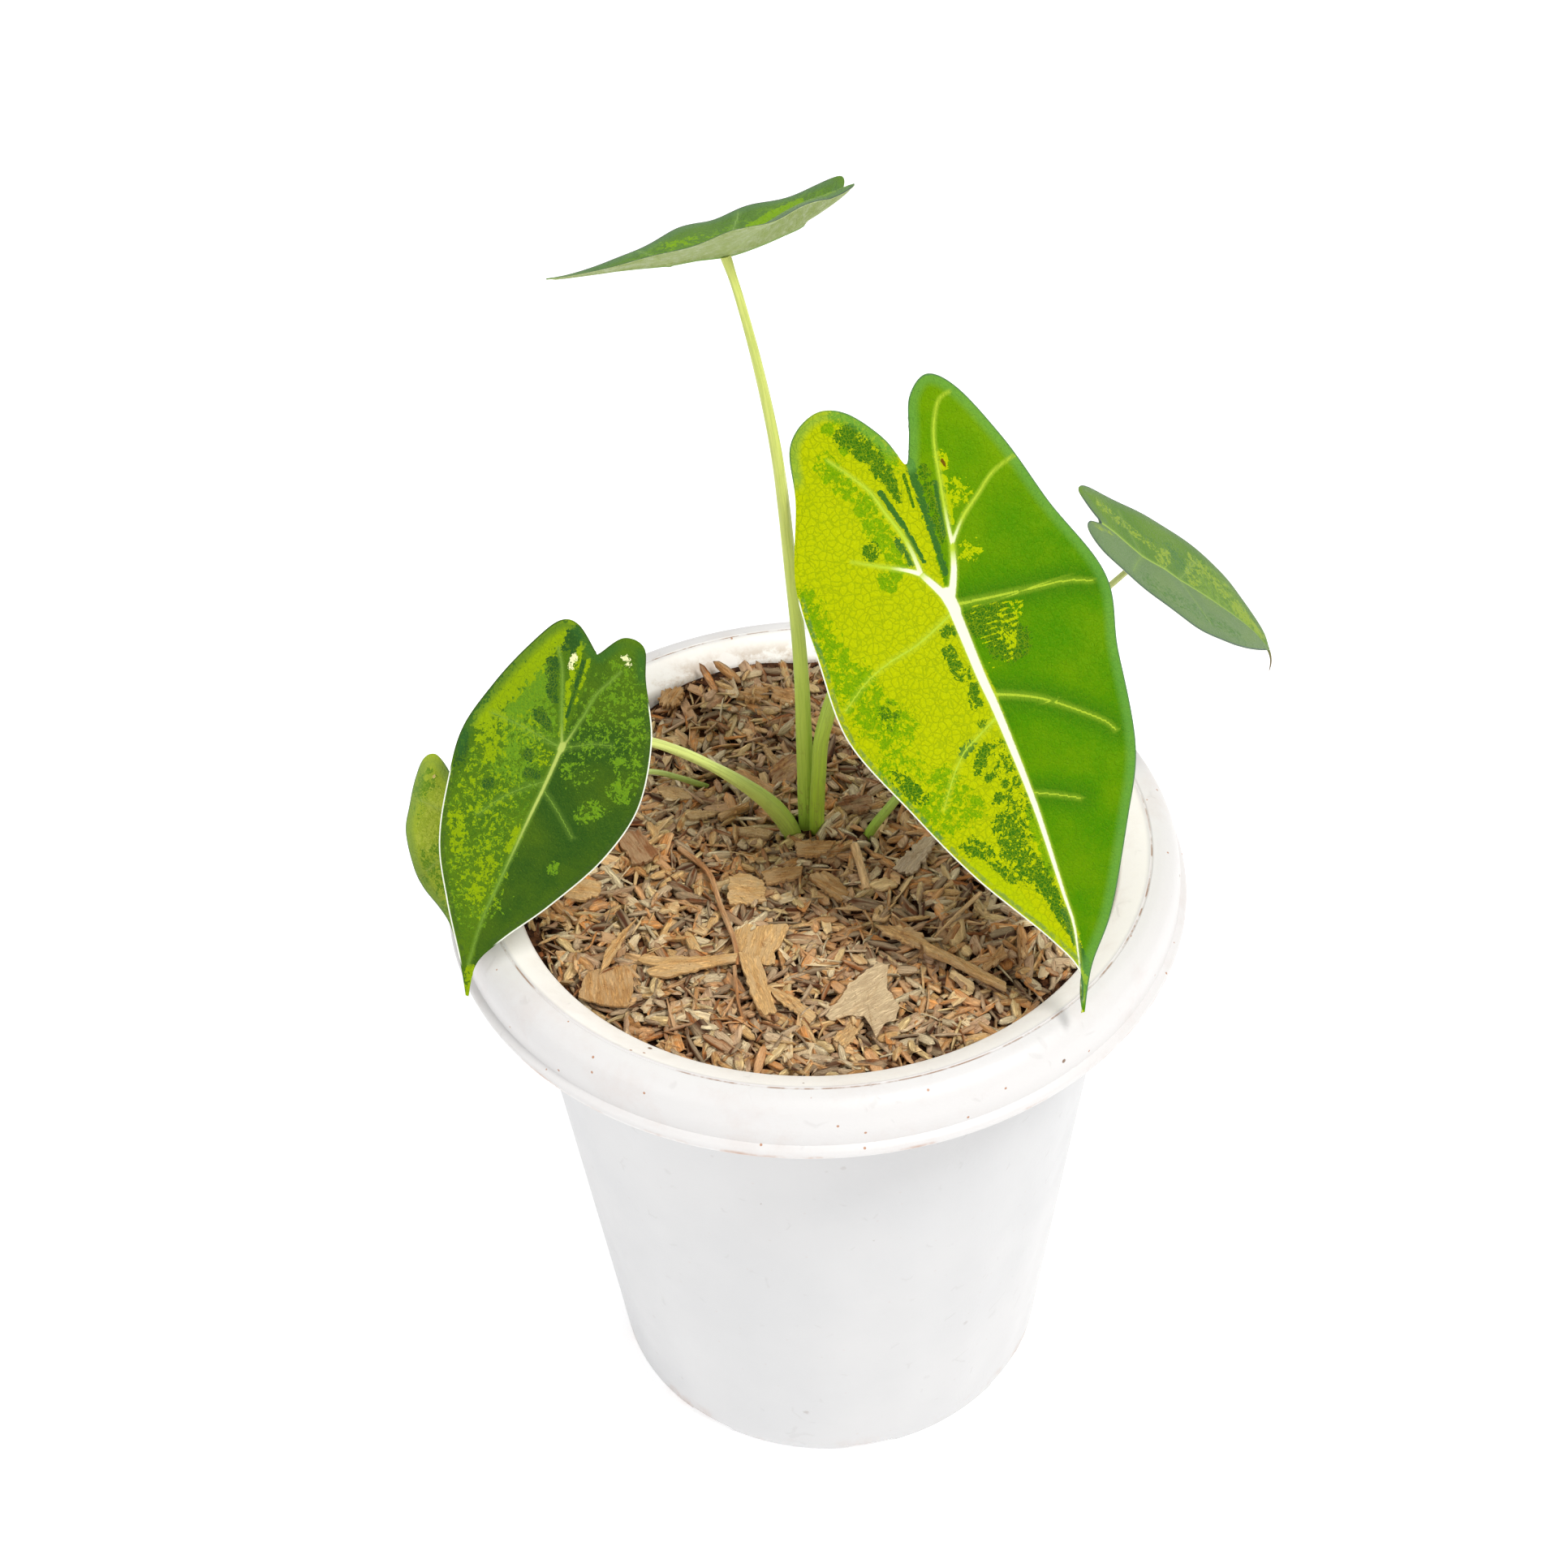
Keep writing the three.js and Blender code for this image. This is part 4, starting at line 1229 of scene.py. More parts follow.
@dataclass
class Substrate:
    """The pot's filling: a bed, and thousands of husks, chips, splinters and crumbs on it."""

    pot: Pot
    stems: Sequence[Pair]
    level: float = 182.5
    mound: float = 3.5
    roughness: float = 1.6
    bank: float = 7.0
    lip_radius: float = 84.4
    clearance: float = 0.3
    rings: int = 60
    segments: int = 180
    base: float = 2.7
    shapes: int = 14
    scatters: tuple[Scatter, ...] = (
        Scatter("soil_husks", 125000.0, 11, (0.95, 1.45), 2.0, 0.4, (0.0, 2.5), 79.4, 3.6, HUSK),
        Scatter("soil_chips", 48000.0, 23, (0.6, 1.35), 0.65, 0.42, (-0.2, 2.2), 78.0, 4.6, BARK),
        Scatter("soil_shreds", 26000.0, 29, (0.6, 1.2), 0.9, 0.5, (0.2, 2.6), 77.0, 5.0, BARK),
        Scatter("soil_splinters", 24000.0, 37, (0.5, 1.2), 3.1, 0.32, (0.0, 2.4), 74.0, 4.6, BARK),
        Scatter("soil_crumbs", 100000.0, 41, (0.5, 1.4), 3.1, 3.1, (-0.9, 0.7), 82.6, 2.6, CRUMB),
    )
    large: tuple[LargePiece, ...] = (
        LargePiece((
            (0.7, -62), (4.6, -57.6), (8, -52.8), (15.3, -47.2), (18.5, -47.7), (17.6, -54),
            (20.6, -60.5), (19.8, -65), (17.1, -64.9), (14.4, -69.6), (12.8, -64.9), (11.4, -62.7),
            (7.7, -61.8), (3, -63.3),
        ), 0.81, 30, 0.6, 5, (17, -3), 0.3, 0.012),
        LargePiece((
            (-24, -31.3), (-19.1, -28.2), (-14.1, -28.4), (-7.9, -27.9), (-9.4, -34), (-12.1, -38),
            (-11.9, -42), (-16.1, -41.7), (-20.9, -40.1), (-22.1, -35.3),
        ), 0.58, 78, 1.2, 4, (6, 2), 0.3, 0.004),
        LargePiece((
            (-21.9, -39.4), (-16.4, -40.5), (-14.1, -49.6), (-11.7, -59.9), (-15, -61.3), (-17.5, -57.6),
            (-20, -48),
        ), 0.56, -74, 1.1, 4, (3, 6)),
        LargePiece((
            (-14.1, -50), (-10.6, -51.8), (-6.2, -55), (-1.4, -59.3), (-2.9, -63.4), (-5.6, -60.6),
            (-8.9, -57.5), (-12.7, -53.9),
        ), 0.62, -38, 0.9, 3.4, (5, 4), 0.5),
        LargePiece((
            (-49, -40.2), (-47.4, -38), (-42.2, -39.9), (-35.7, -39.3), (-28.6, -40), (-21.7, -39.3),
            (-21.9, -42), (-28, -43), (-34.5, -44.6), (-40.3, -46.1), (-44.9, -45), (-46.6, -43.3),
            (-44.4, -42.4),
        ), 0.56, 3, 1.3, 4.4, (8, -2), 0.5, 0),
        LargePiece((
            (-62.5, -42.4), (-57.2, -41.2), (-49.3, -40.2), (-50, -44.6), (-50.3, -49.6), (-51.6, -55),
            (-58.1, -54.4), (-65, -51.7), (-63.7, -46.8),
        ), 0.3, -84, 1, 3.4, (3, 3), 0.2, 0.003),
        LargePiece((
            (16.1, -30.7), (21.3, -30.5), (27.7, -34.4), (29.2, -38.8), (26.2, -39.1), (21.6, -35.9),
            (17.6, -33.9),
        ), 0.5, -35, 1.4, 4, (5, -3), 0.7),
        LargePiece((
            (27.1, -35.9), (30.6, -38.4), (39.1, -43.6), (49.8, -52), (49.7, -54.4), (43.4, -50.4),
            (34.3, -43.7), (28.8, -41),
        ), 0.56, -40, 2.2, 4.4, (3, 3), 0.2, 0),
        LargePiece((
            (-15.4, -8.7), (-11.4, -7.4), (-3.8, -6.9), (-4.4, -9.3), (-5.9, -11.4), (-13.7, -13.5),
        ), 0.3, 10, 1.6, 3.4, (8, 2)),
        LargePiece((
            (-24.2, -11.4), (-20, -10.5), (-14.6, -12.7), (-14.2, -19.5), (-19.5, -21.1), (-24.4, -20.6),
        ), 0.6, -8, 1.8, 3.6, (10, 2)),
        LargePiece((
            (-2.3, -9.4), (2.6, -7.8), (5.6, -10), (8.8, -15.4), (6.8, -18.8), (3.5, -16.4), (0.2, -12.4),
        ), 0.32, -38, 2, 3.6, (8, 3)),
        LargePiece((
            (23.7, -3.3), (27.3, 0.5), (31, 3.9), (34.1, 2.3), (30.6, -3.8), (27.9, -8.2), (24.5, -9.1),
            (21.4, -6.8),
        ), 0.93, 52, 1.8, 4.2, (10, -4), 0.5),
        LargePiece((
            (-5.4, 1.4), (-0.2, 1.6), (5.5, 1.3), (3.1, -2.5), (-1.8, -4.1), (-5.2, -3.4),
        ), 0.32, 2, 1.8, 3.4, (9, 2)),
        LargePiece((
            (-69.2, -6.9), (-64.2, -7.1), (-59.8, -7.8), (-60.4, -12.4), (-65.2, -15), (-69.7, -13.7),
        ), 0.52, -10, 1.4),
        LargePiece((
            (-49, -22.5), (-51.8, -27.8), (-54, -34.4), (-56.7, -41.2), (-59.2, -44.4), (-58, -36.7),
            (-54.1, -29.8),
        ), 0.58, 63, 1, 4.4, (2, 6), 0.4),
        LargePiece(((49.4, -39.1), (50.7, -43), (44.7, -48.1), (43.4, -46.9)), 0.4, 42, 1.4, 4.6),
        LargePiece((
            (2.8, -67.8), (7.7, -61.7), (11.4, -63), (8.6, -68.2), (6, -71.3),
        ), 0.64, 50, 0.9, 2.8),
        LargePiece((
            (-23.4, 66.5), (-18, 69.4), (-12.5, 69.2), (-12, 65.4), (-17, 63.8),
        ), 0.3, -6, 2.2, 3, (12, 2), 0.6),
        LargePiece((
            (-11.5, 68), (-6, 68.4), (-3.4, 64), (-6, 62), (-10.8, 64.2),
        ), 0.44, -20, 2, 3, (10, 2), 0.6),
        LargePiece((
            (-22.7, 33.9), (-19.7, 34.3), (-15.7, 31.1), (-11.5, 27.9), (-11.3, 24.5), (-14.3, 23.4),
            (-18, 25.4), (-20.8, 29.6),
        ), 0.45, -40, 1.4, 3.6, (8, 2)),
        LargePiece((
            (-14.5, 46.1), (-12.3, 45), (-9, 39.4), (-9.8, 37.5), (-12.1, 40.3),
        ), 0.68, -56, 1.8, 3.2),
        LargePiece((
            (-12.1, 35.8), (-8.6, 40.1), (-4.3, 41.1), (-4.1, 32.9), (-8.4, 28.9), (-11.9, 29.7),
        ), 0.24, 40, 1.8, 3.4, (12, 0)),
        LargePiece((
            (-36.9, 17.8), (-33.5, 19.4), (-27.2, 18.5), (-30.1, 16.5), (-34.8, 15.6),
        ), 0.7, 4, 1.4, 3.4),
        LargePiece((
            (-44.9, 29.8), (-40.8, 29.9), (-34.1, 27.1), (-34.8, 24.6), (-38.9, 24.5), (-43, 25.3),
        ), 0.66, -14, 1.2),
        LargePiece((
            (-27.4, 16.2), (-23.8, 18.3), (-18.7, 20.8), (-18.3, 19.3), (-22.7, 16.4), (-26.7, 14.1),
        ), 0.3, 32, 2, 3.6),
        LargePiece((
            (6.2, 18.8), (8.5, 21.9), (16.1, 22.2), (16.5, 17.8), (14.4, 15.5), (9.3, 15.9),
        ), 0.14, 14, 2, 3.2),
        LargePiece((
            (-45, 66.5), (-42.6, 70.5), (-39.2, 70.8), (-37.6, 68.4), (-39.5, 64.4), (-43.4, 63.6),
        ), 0.3, 62, 2, 4, (12, 2), 0.6),
        LargePiece((
            (-21.7, 10.8), (-17, 10.8), (-11.7, 9.1), (-13.5, 7), (-17.7, 7.8), (-20.8, 8.5),
        ), 0.72, -10, 1.6, 3.4),
        LargePiece(slab_outline((46, 26), 16, 8, 70), 0.34, 70, 1.6, 3.2),
        LargePiece(slab_outline((12, 54), 14, 9, -50), 0.56, -50, 1.6, 3.2),
        LargePiece(slab_outline((52, -4), 15, 6, 25), 0.6, 25, 1.4, 3.2),
        LargePiece(slab_outline((-50, 4), 13, 8, -60), 0.2, -60, 1.6, 3.2),
    )
    twigs: tuple[Twig, ...] = (
        Twig((
            (-38.3, 6.2, 186.6), (-30, -7.3, 189.6), (-26.6, -21.3, 190.6), (-22.8, -35.3, 190.4),
            (-21.9, -42.5, 188.4),
        ), (0.9, 0.7), 0.3),
        Twig(((-22.9, -43, 188.6), (-21.9, -55.3, 187.6), (-19, -66.3, 186)), (0.6, 0.3), 0.3),
        Twig(((10.9, 1.7, 189.6), (12.3, -7, 190.4), (13.8, -15.4, 189)), (1.3, 1.1), 0.57),
        Twig(((44.9, -18.7, 189.4), (38.3, -27.5, 190.4), (31.4, -35.5, 189.6)), (0.7, 0.4), 0.56),
        Twig((
            (44.8, -19, 189.6), (40.8, -23.9, 189.6), (33.9, -29.3, 189), (35.2, -32, 188.2),
        ), (0.5, 0.3), 0.2),
        Twig(((36, 40, 188), (52, 30, 189), (60, 14, 187.6)), (0.8, 0.5), 0.44),
    )

    wall_row: WallRow = field(default_factory=WallRow)

    GRAIN_INPUTS = {"Grains": Kind.COLLECTION, "Seed": Kind.WHOLE, "Finish": Kind.MATERIAL}
    LOWEST_GRAIN = 178.0
    WALL_LIFT = 2.6

    def height(self, x: np.ndarray, y: np.ndarray) -> np.ndarray:
        """Returns the bed's height at places in millimetres."""
        share = np.hypot(x, y) / self.lip_radius
        lumps = np.sin(x * 0.11 + 1.3) * np.cos(y * 0.13 - 0.4) + 0.6 * np.sin(x * 0.23 - y * 0.19 + 2.1)
        bank = self.bank * np.clip((y - 46) / 28, 0, 1) ** 1.5 * np.clip((x + 62) / 24, 0, 1)
        return self.level + self.mound * (1 - share**2) + self.roughness * lumps * (1 - 0.5 * share) + bank

    def bed_mesh(self) -> bpy.types.Mesh:
        """Returns the bed: the solid filling, with its gap to each stem stored on its vertices."""
        edge = self.pot.inner_radius(178) - 2 * self.clearance
        radii = np.linspace(0, edge, self.rings + 1)[1:]
        angles = np.arange(self.segments) * TURN / self.segments
        across, along = np.cos(angles), np.sin(angles)
        x, y = radii[:, None] * across, radii[:, None] * along
        top = np.stack([x, y, self.height(x, y) - 0.4], axis=2).reshape(-1, 3)
        low, floor = self.base, self.base + 3
        rings = [
            np.column_stack([radius * across, radius * along, np.full(self.segments, height)])
            for radius, height in (
                (edge, 176.0),
                (self.pot.inner_radius(floor) - self.clearance, floor),
                (self.pot.inner_radius(low) - 2 - 2 * self.clearance, low),
            )
        ]
        middle = float(self.height(np.array(0.0), np.array(0.0))) - 0.4
        points = np.vstack([top, *rings, [[0, 0, middle], [0, 0, low]]])
        mesh = mesh_of("soil_bed", points * MM, turned_faces(self.rings + 3, self.segments))
        gaps = [np.hypot(points[:, 0] - sx, points[:, 1] - sy) for sx, sy in self.stems]
        keep_numbers(mesh, "stem_gap", np.min(gaps, axis=0))
        return mesh

    def husk_mesh(self, random: np.random.Generator) -> bpy.types.Mesh:
        """Returns one half of a rice husk: a thin curved boat about 8 mm long."""
        length, width = 8.4 * random.uniform(0.8, 1.1), 2.5 * random.uniform(0.75, 1.15)
        height = random.uniform(0.6, 0.9)
        bow = random.uniform(-0.3, 0.5)
        stations = (-0.66, -0.2, 0.35, 0.76)
        points = [(-length / 2, 0.0, bow)]
        for s in stations:
            span = width / 2 * math.sqrt(1 - abs(s) ** 2.2)
            arch = height * math.sqrt(1 - s * s)
            x, low = s * length / 2, bow * s * s
            for share, rise in ((-1, 0.0), (-0.55, 0.8), (0.55, 0.85), (1, 0.0), (0, 0.25)):
                points.append((x, span * share, low + arch * rise))
        points.append((length / 2, 0.0, bow))
        around = 5
        last = len(points) - 1
        faces, quads = [], []
        for k in range(around):
            nxt = (k + 1) % around
            faces += [[0, 1 + k, 1 + nxt], [last, last - around + nxt, last - around + k]]
            for base in range(1, last - around, around):
                quads.append([base + k, base + around + k, base + around + nxt, base + nxt])
        return self.grain_mesh("husk", np.array(points), [np.array(quads), np.array(faces)])

    def plate_mesh(self, random: np.random.Generator, size: Triple, curl: float) -> bpy.types.Mesh:
        """Returns a flat chip or shred with a torn outline.

        Args:
            random: the source of its unevenness.
            size: length, width and thickness in millimetres.
            curl: how far its sides bend up, in millimetres.

        Returns:
            The plate's mesh.
        """
        sides = 9
        turn = np.arange(sides) * TURN / sides + random.uniform(-0.3, 0.3, sides)
        reach = random.uniform(0.6, 1.08, sides)
        cosine, sine = np.cos(turn), np.sin(turn)
        rim = np.stack([np.sign(wave) * np.abs(wave) ** 0.6 for wave in (cosine, sine)]) * reach
        skew = random.uniform(-0.35, 0.35)
        share = np.concatenate([[0.0], np.full(sides, 0.55), np.ones(sides)])
        x = np.concatenate([[0.0], rim[0] * 0.55, rim[0]])
        y = np.concatenate([[0.0], rim[1] * 0.55, rim[1]])
        warp = curl * y * y + random.uniform(-0.06, 0.06) * size[0] * x * x
        warp = warp + random.uniform(-0.1, 0.1, len(x)) * size[2]
        half = size[2] / 2 * (1 - 0.4 * share**3)
        x, y = x * size[0] / 2 + skew * y * size[1] / 2, y * size[1] / 2
        points = np.vstack([np.column_stack([x, y, warp + half]), np.column_stack([x, y, warp - half])])
        count = 2 * sides + 1
        k = np.arange(sides)
        nxt = (k + 1) % sides
        fan = np.column_stack([np.zeros(sides, int), 1 + k, 1 + nxt])
        band = np.column_stack([1 + k, 1 + sides + k, 1 + sides + nxt, 1 + nxt])
        edge = 1 + sides
        wall = np.column_stack([edge + k + count, edge + nxt + count, edge + nxt, edge + k])
        faces = [band, band[:, ::-1] + count, wall, np.vstack([fan, fan[:, ::-1] + count])]
        return self.grain_mesh("plate", points, faces)

    def splinter_mesh(self, random: np.random.Generator) -> bpy.types.Mesh:
        """Returns a long thin splinter with tapered, crooked ends."""
        length, width, height = random.uniform(8, 20), random.uniform(0.7, 2.0), random.uniform(0.5, 1.1)
        stations = np.array([-1.0, -0.6, -0.1, 0.45, 0.85, 1.0])
        spans = np.array([0.25, 0.8, 1.0, 0.9, 0.6, 0.15]) * random.uniform(0.7, 1.15, 6)
        bend = random.uniform(-0.06, 0.06) * stations**2 * length
        points = []
        for s, span, shift in zip(stations, spans, bend):
            for cy, cz in ((-1, -0.6), (1, -0.6), (0.8, 0.7), (-0.7, 0.8)):
                points.append((s * length / 2, shift + cy * span * width / 2, cz * span * height / 2))
        quads = [[0, 1, 2, 3], [23, 22, 21, 20]]
        for base in range(0, 20, 4):
            for k in range(4):
                nxt = (k + 1) % 4
                quads.append([base + k, base + 4 + k, base + 4 + nxt, base + nxt])
        return self.grain_mesh("splinter", np.array(points), [np.array(quads)])

    def crumb_mesh(self, random: np.random.Generator) -> bpy.types.Mesh:
        """Returns a crumb with eight uneven faces."""
        points = np.array([[1, 0, 0], [0, 1, 0], [-1, 0, 0], [0, -1, 0], [0, 0, 1], [0, 0, -1]], float)
        points *= np.array([1.5, 0.8, 0.6]) * random.uniform(0.6, 1.15, (6, 1))
        faces = [[k, (k + 1) % 4, 4] for k in range(4)] + [[(k + 1) % 4, k, 5] for k in range(4)]
        return self.grain_mesh("crumb", points, [np.array(faces)])

    def grain_mesh(self, name: str, points: np.ndarray, faces: list[np.ndarray]) -> bpy.types.Mesh:
        """Returns a grain's mesh, with its own place stored in millimetres."""
        mesh = mesh_of(name, points * MM, faces)
        if enclosed_volume(mesh) < 0:
            mesh.flip_normals()
        keep_numbers(mesh, "grain", points)
        return mesh

    def variants(self, name: str) -> bpy.types.Collection:
        """Returns a collection of shapes for one kind of grain, each drawn with a fixed seed."""

        def chip(r: np.random.Generator) -> bpy.types.Mesh:
            """Returns a chip of bark."""
            return self.plate_mesh(r, (r.uniform(4, 12), r.uniform(1.6, 4.8), r.uniform(0.7, 1.6)), 0.3)

        def shred(r: np.random.Generator) -> bpy.types.Mesh:
            """Returns a papery shred."""
            return self.plate_mesh(r, (r.uniform(6, 13), r.uniform(2.0, 5.0), 0.4), r.uniform(0.4, 1.4))

        makers: dict[str, Callable[[np.random.Generator], bpy.types.Mesh]] = {
            "soil_husks": self.husk_mesh,
            "soil_chips": chip,
            "soil_shreds": shred,
            "soil_splinters": self.splinter_mesh,
            "soil_crumbs": self.crumb_mesh,
        }
        collection = bpy.data.collections.new(f"{name}_shapes")
        for k in range(self.shapes):
            mesh = makers[name](np.random.default_rng(100 + k))
            collection.objects.link(bpy.data.objects.new(f"{name}_{k:02d}", mesh))
        return collection

    def strewn_tree(self) -> bpy.types.NodeTree:
        """Returns the Geometry Nodes tree that strews grains over the bed."""
        numbers = (
            "Density", "Smallest", "Largest", "Roll", "Pitch", "Lowest", "Highest", "Reach", "Clear",
        )
        inputs = {"Bed": Kind.GEOMETRY, **self.GRAIN_INPUTS} | {name: Kind.NUMBER for name in numbers}
        outputs = {"Grains": Kind.GEOMETRY}
        graph, given, result = new_group("strewn_grains", "GeometryNodeTree", inputs, outputs)
        ground = {"Mesh": given("Bed"), "Density": given("Density"), "Seed": given("Seed")}
        spread = graph.add("GeometryNodeDistributePointsOnFaces", ground, distribute_method="RANDOM")
        x, y, z = graph.parts(graph.position())
        near_wall = graph.math("GREATER_THAN", graph.hypot(x, y), given("Reach"))
        near_stem = graph.math("LESS_THAN", graph.stored("stem_gap"), given("Clear"))
        below = graph.math("LESS_THAN", z, self.LOWEST_GRAIN * MM)
        unwanted = graph.larger(graph.larger(near_wall, near_stem), below)
        chosen = {"Geometry": spread.outputs["Points"], "Selection": unwanted}
        kept = graph.add("GeometryNodeDeleteGeometry", chosen, domain="POINT").outputs[0]
        lift = self.random_number(graph, given("Lowest"), given("Highest"), given("Seed"), 1)
        raised = graph.moved(kept, graph.upward(lift))
        turn = self.random_turn(graph, given, self.random_number(graph, 0.0, TURN, given("Seed"), 4))
        size = self.random_number(graph, given("Smallest"), given("Largest"), given("Seed"), 5)
        return self.finish_grains(graph, given, result, raised, turn, size)

    def ring_tree(self) -> bpy.types.NodeTree:
        """Returns the Geometry Nodes tree that lays grains along the wall."""
        numbers = ("Radius", "Jitter", "Sway", "Height", "Roll", "Pitch")
        inputs = {"Start": Kind.GEOMETRY, "Count": Kind.WHOLE, **self.GRAIN_INPUTS}
        inputs |= {name: Kind.NUMBER for name in numbers}
        outputs = {"Grains": Kind.GEOMETRY}
        graph, given, result = new_group("grains_at_wall", "GeometryNodeTree", inputs, outputs)
        size = {"Resolution": 96, "Radius": given("Radius")}
        circle = graph.add("GeometryNodeCurvePrimitiveCircle", size, mode="RADIUS").outputs[0]
        wanted = {"Curve": circle, "Count": given("Count")}
        points = graph.add("GeometryNodeCurveToPoints", wanted, mode="COUNT").outputs["Points"]
        inward = graph.vector("NORMALIZE", graph.position())
        shift = self.random_number(graph, graph.times(given("Jitter"), -1.0), 0.0, given("Seed"), 1)
        top = graph.plus(given("Height"), self.WALL_LIFT * MM)
        rise = self.random_number(graph, given("Height"), top, given("Seed"), 6)
        offset = graph.vector("ADD", graph.lengthened(inward, shift), graph.upward(rise))
        moved = graph.moved(points, offset)
        x, y, _ = graph.parts(graph.position())
        heading = graph.plus(graph.math("ARCTAN2", y, x), TURN / 4)
        least = graph.times(given("Sway"), -1.0)
        sway = self.random_number(graph, least, given("Sway"), given("Seed"), 4)
        turn = self.random_turn(graph, given, graph.plus(heading, sway))
        size = self.random_number(graph, 0.6, 1.05, given("Seed"), 5)
        return self.finish_grains(graph, given, result, moved, turn, size)

    def random_number(self, graph: Graph, low: object, high: object, seed: Socket, step: int) -> Socket:
        """Returns a random number for each point, with a seed of its own."""
        own_seed = graph.plus(graph.times(seed, 10.0), float(step))
        inputs = {2: low, 3: high, "Seed": own_seed}
        return graph.add("FunctionNodeRandomValue", inputs, data_type="FLOAT").outputs[1]

    def random_turn(self, graph: Graph, given: Callable[[str], Socket], heading: Socket) -> Socket:
        """Returns a rotation for each point: a random roll and pitch, then its heading."""
        angles = {2: heading}
        for axis, name in enumerate(("Roll", "Pitch")):
            low = graph.times(given(name), -1.0)
            angles[axis] = self.random_number(graph, low, given(name), given("Seed"), axis + 2)
        return graph.add("ShaderNodeCombineXYZ", angles).outputs[0]

    def finish_grains(
        self, graph: Graph, given: Callable[[str], Socket], result: bpy.types.Node, points: Socket,
        turn: Socket, size: Socket,
    ) -> bpy.types.NodeTree:
        """Lays a grain on each point, gives it a tint, makes it all one mesh and ends the tree.

        Args:
            graph: the tree's graph.
            given: reads the tree's inputs by name.
            result: the tree's output node.
            points: where the grains lie.
            turn: each grain's rotation.
            size: each grain's scale.

        Returns:
            The finished tree.
        """
        source = {"Collection": given("Grains"), "Separate Children": True, "Reset Children": True}
        shapes = graph.add("GeometryNodeCollectionInfo", source).outputs[0]
        placed = {"Points": points, "Instance": shapes, "Pick Instance": True}
        placed |= {"Rotation": turn, "Scale": size}
        grains = graph.add("GeometryNodeInstanceOnPoints", placed).outputs[0]
        tint = self.random_number(graph, 0.0, 1.0, given("Seed"), 8)
        tinted = graph.store(grains, "tint", tint, data_type="FLOAT", domain="INSTANCE")
        graph.feed(result.inputs["Grains"], graph.finished(tinted, given("Finish")))
        return graph.tree

    def large_mesh(self, piece: LargePiece, seed: int) -> tuple[np.ndarray, np.ndarray, np.ndarray]:
        """Shapes one listed piece.

        Args:
            piece: its outline and place.
            seed: the seed of its ragged edge.

        Returns:
            Its points in the frame, its own flat places, and its faces, all in millimetres.
        """
        random = np.random.default_rng(seed)
        around, rings = 72, 8
        outline = np.array(piece.outline, float)
        following = np.roll(outline, -1, axis=0)
        if np.sum(outline[:, 0] * following[:, 1] - following[:, 0] * outline[:, 1]) < 0:
            outline = outline[::-1]
        closed = np.vstack([outline, outline[:1]])
        lengths = np.concatenate([[0], np.cumsum(np.linalg.norm(np.diff(closed, axis=0), axis=1))])
        place = np.arange(around) * lengths[-1] / around
        rim = np.column_stack([np.interp(place, lengths, closed[:, k]) for k in (0, 1)])
        centre = rim.mean(axis=0)
        rim -= centre
        jag = random.uniform(-1.7, 1.7, around)
        jag = 0.6 * jag + 0.4 * np.roll(jag, 1)
        rim *= (1 + piece.ragged * jag / np.linalg.norm(rim, axis=1))[:, None]
        scale = (np.arange(1, rings + 1) / rings) ** 0.8
        flat = np.vstack([[[0.0, 0.0]], (scale[:, None, None] * rim).reshape(-1, 2)])
        out = np.concatenate([[0], np.repeat(scale, around)])
        angle = math.radians(piece.turn)
        x = flat[:, 0] * math.cos(angle) + flat[:, 1] * math.sin(angle)
        y = flat[:, 1] * math.cos(angle) - flat[:, 0] * math.sin(angle)
        phases = random.uniform(0, TURN, 3)
        grain = 0.12 * np.sin(1.2 * y + np.sin(0.5 * x) + phases[0]) + random.normal(0, 0.07, len(flat))
        bend = piece.curl * y * y + 0.0022 * x * x * math.sin(phases[2])
        half = piece.thickness / 2 * (1 - 0.35 * out**6)
        raised = (bend + grain + half, bend - half)
        world = np.vstack([np.column_stack([flat, side]) for side in raised])
        own = np.vstack([np.column_stack([x, y, half]), np.column_stack([x, y, -half])])
        count = 1 + rings * around
        k = np.arange(around)
        nxt = (k + 1) % around
        upper = [np.column_stack([np.zeros(around, int), 1 + k, 1 + nxt])]
        for ring in range(rings - 1):
            a, b = 1 + ring * around + k, 1 + ring * around + nxt
            upper += [np.column_stack([a, a + around, b + around]), np.column_stack([a, b + around, b])]
        upper = np.vstack(upper)
        a, b = 1 + (rings - 1) * around + k, 1 + (rings - 1) * around + nxt
        walls = [np.column_stack([a, a + count, b + count]), np.column_stack([a, b + count, b])]
        tips = [Matrix.Rotation(math.radians(angle), 3, axis) for angle, axis in zip(piece.lean, "XY")]
        lean = tips[0] @ tips[1]
        ground = float(self.height(centre[0], centre[1])) + piece.rise
        world = world @ np.array(lean).T + np.array([*centre, ground])
        return world, own, np.vstack([upper, upper[:, ::-1] + count, *walls])

    def build_large(self) -> None:
        """Makes the listed pieces as one object."""
        points, owns, tints, faces = [], [], [], []
        base = 0
        for seed, piece in enumerate(self.large):
            world, own, triangles = self.large_mesh(piece, 500 + seed)
            points.append(world)
            owns.append(own)
            tints.append(np.full(len(world), piece.tint))
            faces.append(triangles + base)
            base += len(world)
        mesh = mesh_of("soil_large_chips", np.vstack(points) * MM, [np.vstack(faces)])
        keep_numbers(mesh, "grain", np.vstack(owns))
        keep_numbers(mesh, "tint", np.concatenate(tints))
        smooth(mesh, 40)
        mesh.materials.append(SLAB.material())
        register(new_object("soil_large_chips", mesh), "substrate")

